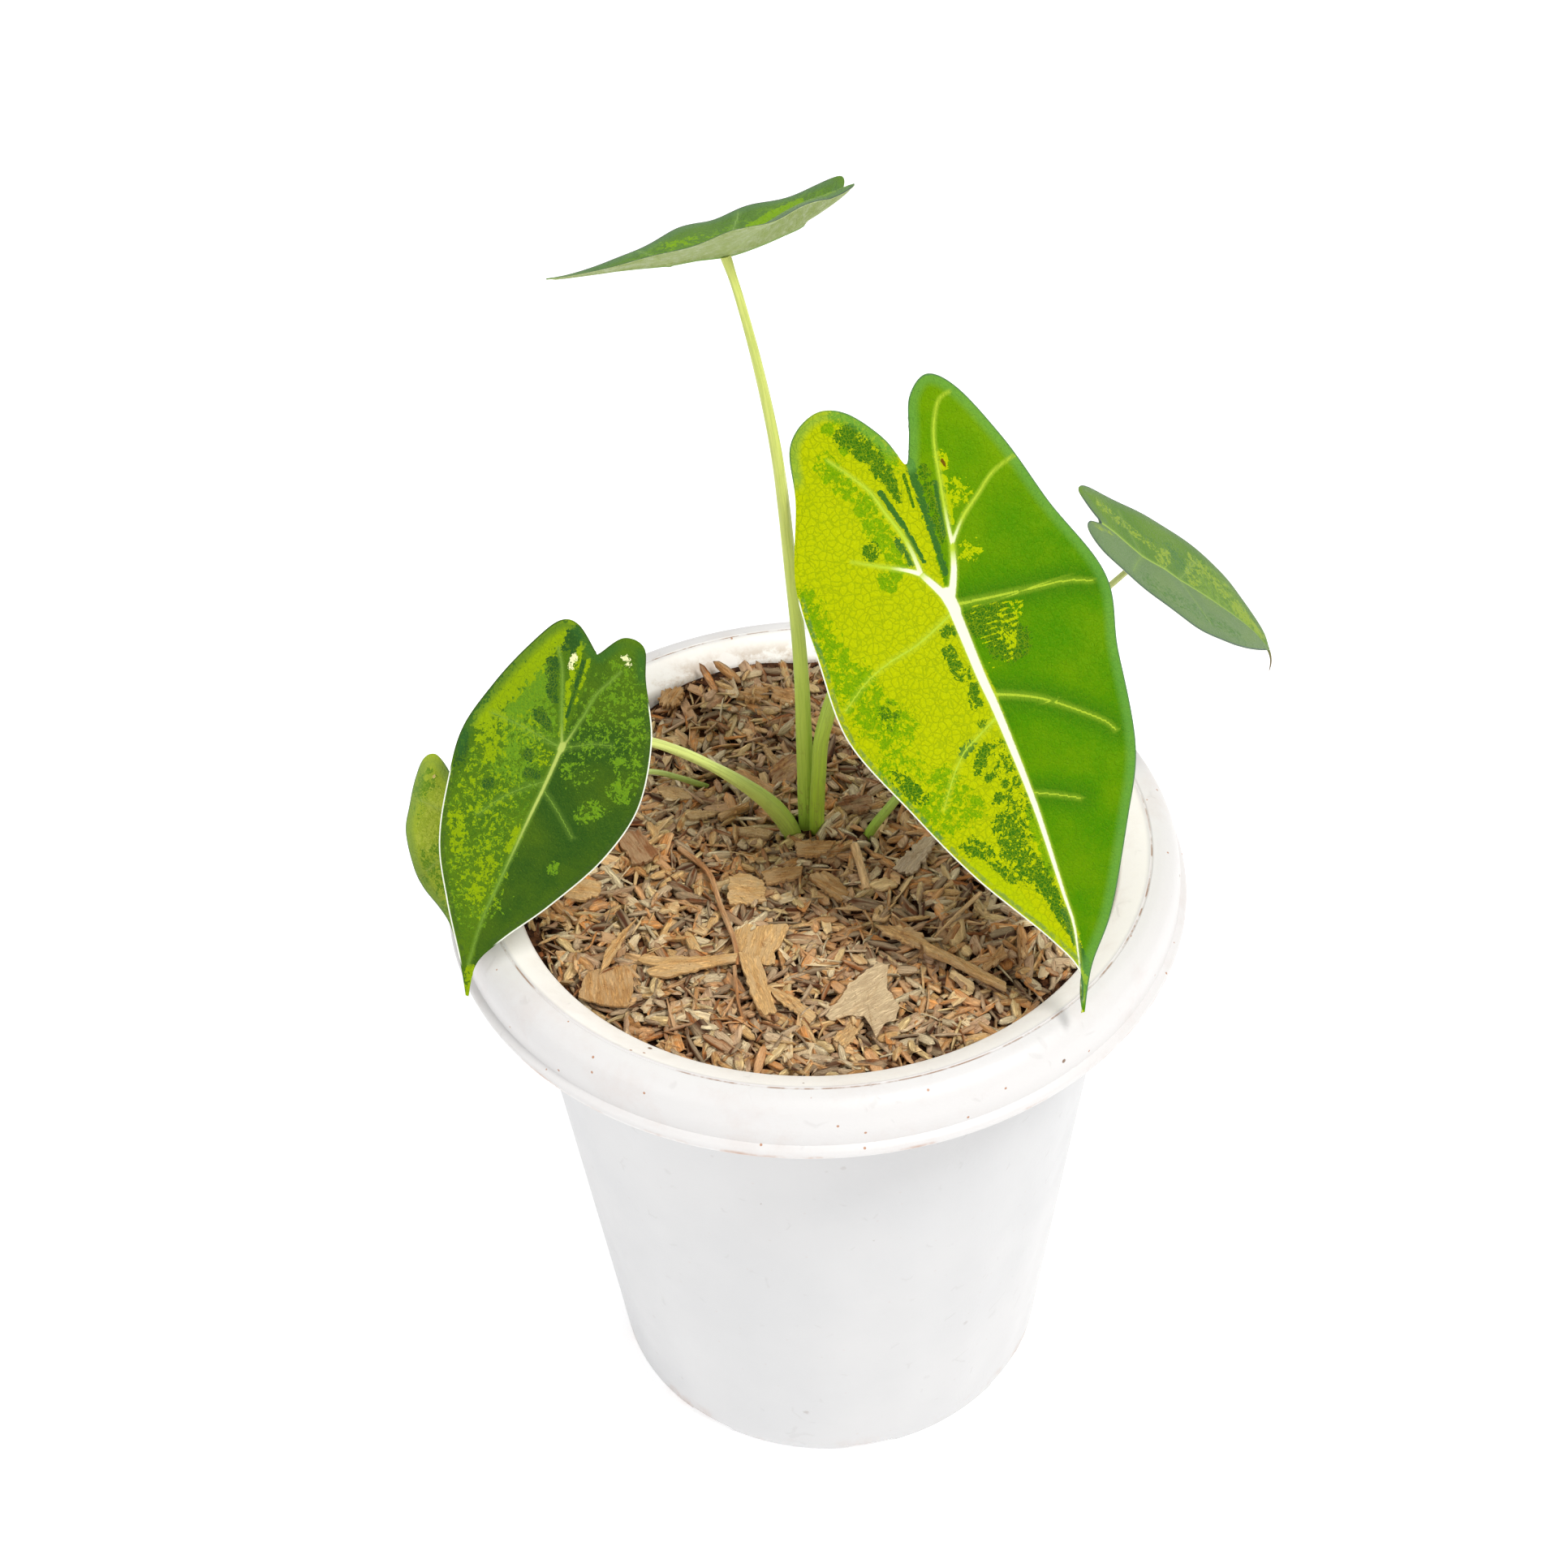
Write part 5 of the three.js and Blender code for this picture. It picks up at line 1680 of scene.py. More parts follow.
    def build(self) -> None:
        """Makes the bed and everything that lies on it."""
        finishes = {finish.name: finish.material() for finish in (BARK, HUSK, CRUMB)}
        bed_mesh = self.bed_mesh()
        bed = new_object("soil_bed", bed_mesh)
        smooth(bed_mesh, 60)
        bed_mesh.materials.append(self.bed_shade_material())
        register(bed, "substrate", "soil")
        tree = self.strewn_tree()
        for part in self.scatters:
            inputs = {
                "Density": part.density, "Seed": part.seed, "Smallest": part.size[0],
                "Largest": part.size[1], "Roll": part.roll, "Pitch": part.pitch,
                "Lowest": part.lift[0] * MM, "Highest": part.lift[1] * MM, "Reach": part.reach * MM,
                "Clear": part.clear, "Finish": finishes[part.finish.name],
            }
            self.lay(part.name, part.name, bed_mesh, tree, inputs)
        row = self.wall_row
        inputs = {
            "Count": row.count, "Radius": row.radius * MM, "Jitter": row.jitter * MM, "Sway": row.sway,
            "Roll": row.roll, "Pitch": row.pitch, "Height": row.height * MM, "Seed": row.seed,
            "Finish": finishes[HUSK.name],
        }
        self.lay(row.name, "soil_husks", bed_mesh, self.ring_tree(), inputs)
        self.build_large()
        for rank, twig in enumerate(self.twigs):
            twig.build(f"soil_twig_{rank}")

    def lay(
        self, name: str, shape: str, ground: bpy.types.Mesh, tree: bpy.types.NodeTree,
        inputs: dict[str, object],
    ) -> None:
        """Makes one piece of many grains.

        Args:
            name: the piece's name.
            shape: the kind of grain.
            ground: the mesh that the tree starts from.
            tree: the tree that lays the grains.
            inputs: the tree's other inputs by name.
        """
        grains = self.variants(shape)
        piece = run_tree(name, ground.copy(), tree, inputs | {"Grains": grains})
        self.discard(grains)
        register(piece, "substrate")

    def bed_shade_material(self) -> bpy.types.Material:
        """Returns the ground between the grains: dark soil, painted darker still to stand for the shade
        deep in the gaps.
        """
        gloss = {"Roughness": 0.95, "Specular IOR Level": 0.1}
        material, graph, shader = new_material("soil_ground", gloss)
        place = graph.add("ShaderNodeTexCoord").outputs["Object"]
        cells = graph.cells(graph.warped(place, 300.0, 0.004), 420.0)
        # Painted shade: the bed is painted very dark so that the gaps between grains read as shadow.
        shade = graph.layered(
            tone(40, 24, 16),
            (graph.parts(cells.outputs["Color"])[0], tone(110, 70, 42)),
            (graph.step(graph.noise(place, 700.0), 0.4, 0.7), tone(50, 30, 20)),
        )
        dress(graph, shader, cells.outputs["Distance"], 0.0015, colour=shade)
        return material

    def discard(self, collection: bpy.types.Collection) -> None:
        """Removes the shapes that a tree has used."""
        for thing in list(collection.objects):
            bpy.data.objects.remove(thing)
        bpy.data.collections.remove(collection)


# ------------------------------------------------------------------ leaves


class Field(Enum):
    """Sets of patches in a blade's variegation."""

    LIGHT = "light"
    MIDDLE = "middle"
    DEEP = "deep"
    TEAL = "teal"
    FLECK = "fleck"


@dataclass(frozen=True)
class Patch:
    """A patch of variegation: a stroke on the flat blade, in millimetres.

    Its strength says how whole it is: about 1 for a plain patch, and about 0 for mottles.
    """

    field: Field
    points: tuple[Pair, ...]
    width: Pair
    strength: float = 1.0


def strokes(kind: Field, *rows: tuple) -> tuple[Patch, ...]:
    """Returns patches of one set from rows of their points, their widths and their strength."""
    return tuple(Patch(kind, *row) for row in rows)


@dataclass(frozen=True)
class Vein:
    """A vein on the flat blade: its points and its width at both ends, in millimetres.

    A main vein has a rib below it and is cream along the given share of its length.
    """

    points: tuple[Pair, ...]
    width: Pair = (0.8, 0.4)
    is_main: bool = False
    cream: float = 1.0


@dataclass(frozen=True)
class BladeFinish:
    """The colours of one blade."""

    name: str
    left: Colour
    right: Colour
    light: Colour
    middle: Colour
    deep: Colour
    teal: Colour
    net: Colour
    rib: Colour
    vein: Colour
    band: Colour
    fleck: Colour = tone(226, 226, 172)
    underside: Colour = tone(186, 196, 150)
    # The tone of the painted highlight along the lit margins, and of the underside's pale mottles.
    pale_edge: Colour = tone(232, 234, 222)
    dark_edge: Colour = tone(60, 88, 60)
    net_share: float = 0.3
    vein_width: float = 0.5
    vein_shade: float = 0.5
    mottle: float = 1.0
    mottle_scale: float = 0.42
    gloss: float = 0.2
    gloss_tint: Colour = (0.75, 1.0, 0.12, 1.0)

    def material(self) -> bpy.types.Material:
        """Returns the material."""
        gloss = {"Specular IOR Level": self.gloss, "Specular Tint": self.gloss_tint}
        material, graph, shader = new_material(self.name, gloss)
        titles = (*BLADE_COLOURS, *BLADE_NUMBERS)
        inputs = {title: getattr(self, title.lower().replace(" ", "_")) for title in titles}
        looks = placed_group(graph, Effect.LEAF_SURFACE.value, inputs).outputs
        colour, roughness = looks["Colour"], looks["Roughness"]
        dress(graph, shader, looks["Height"], 0.00022, colour=colour, roughness=roughness)
        return material


@dataclass(frozen=True)
class PetioleFinish:
    """A leaf stalk's colours, from its sheath to its tip, with faint lines and freckles."""

    name: str
    base: Colour
    tip: Colour
    freckle: Colour = tone(120, 130, 60)
    blush: Colour = tone(150, 120, 70)

    def material(self) -> bpy.types.Material:
        """Returns the material."""
        gloss = {"Specular IOR Level": 0.4, "Sheen Weight": 0.04}
        material, graph, shader = new_material(self.name, gloss)
        along = graph.attribute("along")
        place = graph.add("ShaderNodeTexCoord").outputs["Object"]
        across = graph.scaled(graph.attribute("ring", "Vector"), (1.0, 1.0, 0.0))
        stretched = graph.vector("ADD", across, graph.scaled(place, (0.0, 0.0, 14.0)))
        lines = graph.step(graph.noise(stretched, 4.0, 3.0, 0.6), 0.45, 0.65)
        squeezed = graph.scaled(place, (1.0, 1.0, 0.45))
        mottles = graph.step(graph.noise(squeezed, 420.0, 3.0, 0.7), 0.56, 0.64)
        shade = graph.layered(
            self.base,
            (graph.step(along, 0.05, 0.75), self.tip),
            (lines, self.freckle, 0.22),
            (graph.times(mottles, graph.step(along, 0.3, 0.02)), self.blush, 0.5),
            (mottles, self.freckle, 0.12),
        )
        roughness = graph.plus(0.38, graph.times(lines, 0.12))
        dress(graph, shader, lines, 0.00008, colour=shade, roughness=roughness)
        return material


@dataclass
class Petiole:
    """A leaf stalk: points and radii from its root to its hub, in millimetres."""

    points: tuple[Triple, ...]
    radii: tuple[float, ...]
    finish: PetioleFinish

    def build(self, name: str, hub: np.ndarray) -> None:
        """Makes the stalk up to a hub and ties it to its node."""
        tube = SweptTube((*self.points, tuple(hub)), self.radii, flare=0.35)
        stalk = tube.build(f"{name}_stalk", self.finish.material())
        register(stalk, "stem", f"{name}_stem")


@dataclass
class Leaf:
    """A leaf: a blade that is drawn flat and then bent, on its stalk.

    The blade's own frame has its origin at the hub: u runs along the midrib to the tip, v across
    it, and n up from the upper face.
    """

    name: str
    hub: Triple
    along: Triple
    facing: Triple
    midrib: tuple[Pair, ...]
    margins: tuple[tuple[Pair, ...], tuple[Pair, ...]]
    rows: tuple[int, int]
    columns: int
    sag: float
    lift: float
    keel: float
    curl: float
    wave: Triple
    rib_height: float
    veins: tuple[Vein, ...]
    patches: tuple[Patch, ...]
    trims: tuple[tuple[float, float, int, float], ...]
    finish: BladeFinish
    petiole: Petiole
    thickness: float = 0.55
    pillow: float = 0.35
    raised_lobe: float = 0.0

    def axes(self) -> np.ndarray:
        """Returns the frame's directions u, v and n as rows."""
        u = np.array(self.along) / np.linalg.norm(self.along)
        v = np.cross(self.facing, u)
        v /= np.linalg.norm(v)
        n = np.cross(u, v)
        return np.stack([u, v, n / np.linalg.norm(n)])

    def midrib_at(self, u: np.ndarray) -> np.ndarray:
        """Returns the midrib's v at places u."""
        pairs = np.array(self.midrib)
        place = np.clip(np.searchsorted(pairs[:, 0], u) - 1, 0, len(pairs) - 2)
        t = np.clip((u - pairs[place, 0]) / (pairs[place + 1, 0] - pairs[place, 0]), 0, 1)
        return pairs[place, 1] + (pairs[place + 1, 1] - pairs[place, 1]) * t * t * (3 - 2 * t)

    def flat_grid(self) -> np.ndarray:
        """Returns the flat blade as rows of places, each from the left margin to the right one."""
        tipward, lobeward = self.rows
        tip, sinus = self.midrib[-1][0], self.midrib[0][0]
        past = (np.arange(tipward + lobeward + 1) - tipward) / lobeward
        u = np.where(past < 0, -tip * past * lobeward / tipward, sinus * past)
        rib = np.stack([u, self.midrib_at(u)], axis=1)
        shares = (np.arange(self.columns + 1) / self.columns)[None, :, None]
        halves = []
        for margin in self.margins:
            fine = spline_points(np.array(margin), 2001)
            shoulder = int(np.argmax(fine[:, 0] <= 0)) / 2000
            rank = np.arange(tipward + lobeward + 1)
            share = np.where(past < 0, shoulder * rank / tipward, shoulder + (1 - shoulder) * past)
            place = share * 2000
            rim = np.stack([np.interp(place, np.arange(2001), fine[:, k]) for k in (0, 1)], axis=1)
            halves.append(rib[:, None, :] * (1 - shares) + rim[:, None, :] * shares)
        return np.concatenate([halves[0][:, :0:-1], halves[1]], axis=1)

    def bent(self, flat: np.ndarray, relief: np.ndarray) -> np.ndarray:
        """Bends flat places into the leaf's own frame and adds a relief along n."""
        u, v = flat[..., 0], flat[..., 1]
        tip = self.midrib[-1][0]
        lobe = min(p[0] for margin in self.margins for p in margin)
        width = max(abs(p[1]) for margin in self.margins for p in margin)
        out = np.abs(v - self.midrib_at(u))
        share = out / width
        height, length, phase = self.wave
        lengthwise = np.where(u > 0, -self.sag * (u / tip) ** 2, self.lift * (u / lobe) ** 2)
        # A raised lobe lifts the side v > 0 behind the hub, from nothing at the midrib.
        back = np.clip(-u / 24, 0, 1) * (self.raised_lobe > 0) * (v > 0)
        crosswise = self.keel * (1 - back) * (np.sqrt(out**2 + 1) - 1) - self.curl * share**2
        inward, past_hub = np.clip(v / 8, 0, 1), np.clip(u / lobe, 0, 1)
        rise = np.sin(np.pi * past_hub) + 0.52 * past_hub**2
        lengthwise = lengthwise + self.raised_lobe * rise * inward**2 * (3 - 2 * inward)
        side = np.tanh(v / 1.5)
        ripple = height * share**2 * np.sin(TURN * u / length + phase + side)
        return np.stack([u, v, lengthwise + crosswise + ripple + relief], axis=-1)

    def vein_fields(self, flat: np.ndarray) -> dict[str, np.ndarray]:
        """Measures flat places against the veins.

        Args:
            flat: flat places, one a row.

        Returns:
            "rib", how far inside a main vein each place is; "cream", how pale that vein is there;
            "vein_gap", the gap to the nearest side vein; and "vein", the same gap with a sign
            that changes across each side vein.
        """
        inside, cream = np.full(len(flat), -1e3), np.zeros(len(flat))
        nearest, sign = np.full(len(flat), 1e3), np.ones(len(flat))
        for vein in self.veins:
            line = spline_points(np.array(vein.points), 4 * len(vein.points) + 1)
            gap, share = distance_to_line(flat, line)
            half = (vein.width[0] + (vein.width[1] - vein.width[0]) * share) / 2
            if vein.is_main:
                own_cream = np.clip((vein.cream - share) / 0.3 + 0.5, 0, 1)
                cream = np.where(half - gap > inside, own_cream, cream)
                inside = np.maximum(inside, half - gap)
                continue
            nearest = np.minimum(nearest, gap + 0.4 - half)
            order = np.argsort(line[:, 1])
            across = np.interp(flat[:, 1], line[order, 1], line[order, 0])
            sign *= np.where(flat[:, 0] > across, 1.0, -1.0)
        return {"rib": inside, "cream": cream, "vein_gap": nearest, "vein": nearest * sign}

    def patch_field(self, flat: np.ndarray, field_name: Field) -> np.ndarray:
        """Returns how far inside a set of patches each flat place is; outside it is below 0."""
        level = np.full(len(flat), -3.0)
        for patch in self.patches:
            if patch.field is not field_name:
                continue
            points = np.array(patch.points)
            if len(points) == 1:
                points = points + np.array([[0.0, 0.0], [0.01, 0.0]])
            gap, share = distance_to_line(flat, points)
            reach = gap / (patch.width[0] + (patch.width[1] - patch.width[0]) * share) * 2
            own = max(patch.strength, 0.2) * (1 - reach**2) + min(patch.strength - 0.2, 0)
            level = np.maximum(level, own - 0.9 * np.maximum(reach - 1, 0))
        return np.maximum(level, -3.0)

    def trim_field(self, flat: np.ndarray) -> np.ndarray:
        """Returns where the margin carries a painted highlight, above 0, or is dark, below 0."""
        level = np.zeros(len(flat))
        for low, high, side, strength in self.trims:
            here = np.clip((flat[:, 0] - low) / 6, 0, 1) * np.clip((high - flat[:, 0]) / 6, 0, 1)
            level += strength * here * (np.sign(flat[:, 1] - self.midrib_at(flat[:, 0])) == side)
        return level

    def blade_mesh(self) -> bpy.types.Mesh:
        """Returns the blade, closed and thin, with what its finish reads stored on its vertices."""
        grid = self.flat_grid()
        rows, columns = grid.shape[:2]
        flat = grid.reshape(-1, 2)
        fields = self.vein_fields(flat)
        inside, vein = fields["rib"], fields["vein_gap"]
        edge = np.minimum.reduce(
            [distance_to_line(flat, spline_points(np.array(margin), 90))[0] for margin in self.margins]
        )
        groove = -0.12 * np.exp(-((vein / 0.7) ** 2)) - 0.22 * np.clip(inside + 0.6, 0, 1)
        swell = self.pillow * (1 - np.exp(-((np.abs(vein) / 6) ** 2))) * np.clip(edge / 5, 0, 1)
        relief = (groove + swell).reshape(rows, columns)
        sheet = self.bent(grid, relief)
        normal = np.cross(np.gradient(sheet, axis=0), np.gradient(sheet, axis=1))
        normal /= np.maximum(np.linalg.norm(normal, axis=2, keepdims=True), 1e-9)
        normal *= np.sign(normal[..., 2:])
        tip = self.midrib[-1][0]
        fade = np.clip(1 - np.abs(flat[:, 0]) / tip, 0.1, 1)
        ridge = self.rib_height * fade * np.clip((inside + 1.1) / 1.5, 0, 1) ** 1.5
        ridge += 0.16 * np.exp(-((vein / 0.6) ** 2))
        half = self.thickness / 2 * np.clip(0.45 + edge / 2, 0, 1)
        top = sheet.reshape(-1, 3) + normal.reshape(-1, 3) * half[:, None]
        bottom = sheet.reshape(-1, 3) - normal.reshape(-1, 3) * (half + ridge)[:, None]
        points = np.vstack([top, bottom]) @ self.axes() + np.array(self.hub)
        i, j = np.meshgrid(np.arange(rows - 1), np.arange(columns - 1), indexing="ij")
        a = (i * columns + j).ravel()
        upper = np.stack([a, a + 1, a + columns + 1, a + columns], axis=1)
        count = rows * columns
        loop = np.concatenate(
            [
                np.arange(columns),
                np.arange(1, rows) * columns + columns - 1,
                (rows - 1) * columns + np.arange(columns - 2, -1, -1),
                np.arange(rows - 2, 0, -1) * columns,
            ]
        )
        nxt = np.roll(loop, -1)
        rim = np.stack([loop, loop + count, nxt + count, nxt], axis=1)
        mesh = mesh_of(f"{self.name}_blade_fine", points * MM, [upper, upper[:, ::-1] + count, rim])
        side = flat[:, 1] - self.midrib_at(flat[:, 0])
        numbers = fields | {"edge": edge, "side": side, "trim": self.trim_field(flat)}
        numbers |= {kind.value: self.patch_field(flat, kind) for kind in Field}
        for title, values in numbers.items():
            keep_numbers(mesh, title, np.tile(values, 2))
        places = np.hstack([flat, np.zeros((len(flat), 1))])
        keep_numbers(mesh, "flat", np.vstack([places, places]))
        keep_numbers(mesh, "under", np.repeat([0.0, 1.0], count))
        return mesh

    def stalk_end(self) -> np.ndarray:
        """Returns where the stalk meets the rib below the hub."""
        below = self.thickness / 2 + 0.6 * self.rib_height
        return np.array(self.hub) - self.axes()[2] * below

    def build(self) -> None:
        """Makes the blade and its stalk."""
        mesh = self.blade_mesh()
        smooth(mesh, 60)
        mesh.materials.append(self.finish.material())
        register(new_object(f"{self.name}_blade_fine", mesh), "leaf", f"{self.name}_blade")
        self.petiole.build(self.name, self.stalk_end())


def front_leaf() -> Leaf:
    """Returns the large leaf at the front: yellow on its left half and green on its right."""
    finish = BladeFinish(
        "front_blade",
        left=tone(174, 184, 0), right=tone(60, 123, 0), light=tone(166, 182, 0),
        middle=tone(104, 148, 0), deep=tone(46, 98, 12), teal=tone(48, 98, 34),
        fleck=tone(104, 74, 10), net=tone(136, 156, 0), rib=tone(236, 238, 206),
        vein=tone(172, 196, 52), band=tone(96, 150, 66), dark_edge=tone(80, 120, 72),
        net_share=0.42, vein_width=0.45, mottle_scale=0.42, mottle=1.5,
    )
    veins = (
        Vein((
            (-1, 0), (10, 0.8), (20, 1.5), (30, 2.7), (40, 3.5), (50, 4.2), (60, 4.6), (80, 4.6),
            (90, 4.5), (108, 1),
        ), (2.9, 0.2), True, 1.2),
        Vein(((-2.2, -0.3), (2.4, 0.5)), (3.6, 3), True, 3),
        Vein(((0, 0), (-3, 1.5), (-8, 3.5), (-14, 5)), (2.1, 1.2), True, 0.75),
        Vein((
            (-14, 5), (-20, 5.6), (-30, 7), (-40, 8.5), (-46, 10.5), (-50, 13), (-51, 16),
        ), (1, 0.2), True, 0.1),
        Vein((
            (-14, 5), (-16, 6.5), (-20, 10), (-24, 15), (-28, 20), (-30, 25), (-30.5, 27),
        ), (0.9, 0.2), True, 0.1),
        Vein(((0, 0), (-4, -2), (-9, -5)), (2.4, 1.4), True, 0.9),
        Vein((
            (-9, -5), (-15, -5.5), (-20, -6.5), (-27, -9), (-33, -11), (-39, -15), (-44, -19),
        ), (1.2, 0.2), True, 0.1),
        Vein(((-9, -5), (-11, -8), (-14, -14), (-17.5, -21)), (1.2, 0.2), True, 0.3),
        Vein(((3, -1), (5, -5), (8, -12), (10, -20), (13, -27), (18, -34)), (0.9, 0.3)),
        Vein(((32, 1.5), (35, -4), (38, -9), (44, -14), (50, -18)), (0.8, 0.2)),
        Vein(((1, 1), (2, 10), (3, 20), (4, 30), (6, 36)), (1.1, 0.2)),
        Vein(((26, 3.5), (28, 9), (31, 15), (36, 22), (41, 28), (44, 30)), (1, 0.2)),
        Vein(((53, 5), (55, 10), (58, 16)), (0.3, 0.1)),
    )
    starts = [(2.5 + 1.7 * k, 3.6 + 0.1 * k) for k in range(11)]
    ends = [(5.5 + 1.3 * k, 17.5 - 0.7 * k) for k in range(11)]
    rays = strokes(Field.LIGHT, *((pair, (0.3, 0.9), 0.45) for pair in zip(starts, ends)))
    patches = (
        *rays,
        *strokes(
            Field.LIGHT,
            (((-36, 8.8), (-33.5, 8.9)), (3.2, 3), 0.9), (((-31, 8.2), (-19, 6.6)), (1.6, 1), 0.5),
            (((-26, 10.2),), (6, 6), 0), (((-11.2, 8.8),), (5, 5), 0.1),
            (((67, -14.6), (81, -5.4), (94, 1), (104, 3.8)), (5, 1.8), 1.3),
        ),
        *strokes(
            Field.MIDDLE,
            (((-53, -12), (-47, -6.6), (-38, -3.6)), (6, 4), 0.6), (((-51.2, -16.2),), (3.4, 3.4)),
            (((-45.1, -14.1),), (2.6, 2.6)), (((-43, -19.6), (-36, -17)), (5, 5), 0.4),
            (((-31, -13.4), (-23.6, -12.4), (-15, -9.4)), (5, 5.5), 0.5),
            (((-9.8, -13.5), (-12, -9.5)), (5, 3), 0.8),
            (((-12, -35.5), (4, -33), (15, -31)), (6, 7), 0.2),
            (((12, -30), (21, -28), (26, -24)), (9, 10), 0.45), (((36, -27), (52, -20)), (9, 9), 0.1),
            (((42.7, -15.3), (52, -12)), (6, 7), 0.15), (((57.5, 3), (74, 3)), (3.4, 3), 0.8),
        ),
        *strokes(
            Field.DEEP,
            (((7, 4), (8, 10), (14, 11)), (8, 11), 1.7),
            (((-48, -12), (-42, -7.8), (-36, -6.6)), (6.5, 3.6), 0.8),
            (((-18.5, -15.7),), (4.6, 4.6), 0.7), (((-37, -5.4), (-29, -4.6)), (3.4, 2.2), 0.8),
            (((-34.4, -1.5), (-25.9, -1.6)), (1, 0.7), 1.4), (((-34, 3.6), (-16, 2.8)), (3.2, 2), 0.5),
            (((23, -24.5),), (5, 5), 0.1), (((7.2, -2.8),), (3.6, 3.6), 0.4),
            (((12, -4.6), (18.5, -3.6)), (3.4, 3), 0.6), (((18.6, -1.6),), (3, 3), 0.4),
            (((22.5, -1.4), (27, -2)), (3, 3), 0.6), (((32.4, -1.8),), (2.6, 2.6), 0.7),
            (((38.5, -3.6), (43, -6.6)), (3.4, 3), 0.7), (((45.6, -4.5),), (2.6, 2.6)),
            (((48.5, -1.1),), (2.6, 2.6), 0.9), (((52, -4),), (3.4, 3.4), 0.8),
            (((40, 0.2), (57, 0.4)), (5, 5), 0), (((39, -26.4), (44.5, -23.2)), (4.6, 4.6), 0.5),
            (((59.5, -3.4), (66, -4.2), (70.5, -2.6)), (8, 7), 0.45),
            (((61.5, -14.2), (64.5, -11.6)), (5, 5), 0.5),
            (((68.4, -11.2), (72.5, -8.2)), (4.6, 4.6), 0.5), (((70.5, -1.6), (74, 0.4)), (6, 5), 0.45),
            (((76, 0.6), (82, 1.9), (90, 3.2)), (5, 1.8), 0.9),
        ),
        *strokes(
            Field.TEAL,
            (((-32, -8.6), (-21, -5.2), (-12, -3.4)), (1.6, 1.2), 1.2),
            (((-19, -8.2), (-12, -6.4)), (2.2, 1.4), 0.8),
            (((-37, 0.9), (-19.8, 1.1), (-7.5, 1)), (2.4, 1.5), 1.2),
            (((-30, 5.6), (-16.9, 3.6)), (1.4, 1.2), 1.1), (((37.6, -8.8), (36, -5.8)), (2.8, 2.2), 0.7),
            (((84, 3.2), (102, 4.6)), (1.8, 2.2), 1.2),
        ),
        *strokes(Field.FLECK, (((-35.2, 8.9), (-33.4, 9.3)), (0.9, 0.7), 1.6)),
    )
    return Leaf(
        "leaf_front",
        hub=(36.6, -10, 285.2), along=(0.28, -0.64, -0.72), facing=(0.01, -0.743, 0.67),
        midrib=((-37, 0), (0, 0), (28, 4), (60, 5), (92, 5), (111, 0)),
        margins=(
            (
                (111, -0.5), (101, 2.4), (90, -2.5), (69, -16), (49, -26), (26, -36), (3, -37),
                (-16, -36.5), (-36, -30), (-50, -27), (-56, -19), (-54, -11), (-45, -3.5), (-37, -0.6),
            ),
            (
                (111, 0.5), (100, 6), (88, 15), (67, 26), (49, 34), (25, 37), (6, 40), (-18, 31.5),
                (-36, 25.5), (-51, 18.5), (-57, 12), (-53, 6), (-44, 3), (-37, 0.6),
            ),
        ),
        rows=(150, 125), columns=84, sag=5, lift=4, keel=0.1, curl=4, wave=(1.3, 30, 0.4),
        rib_height=1.1, veins=veins, patches=patches,
        trims=((-14, 112, -1, 1.0), (-60, 111, 1, -0.8), (-60, -36, -1, -0.4)),
        finish=finish,
        petiole=Petiole(
            points=(
                (0.6, 11.5, 171), (0.6, 11.5, 190), (1.6, 11, 210), (3.2, 11, 225), (13, 12, 254),
                (26, 9, 271), (36.5, -1, 277.3),
            ),
            radii=(2.1, 2.1, 2.1, 2.1, 2, 1.9, 1.8, 1.7),
            finish=PetioleFinish("front_stalk", tone(180, 214, 62), tone(190, 212, 86)),
        ),
    )


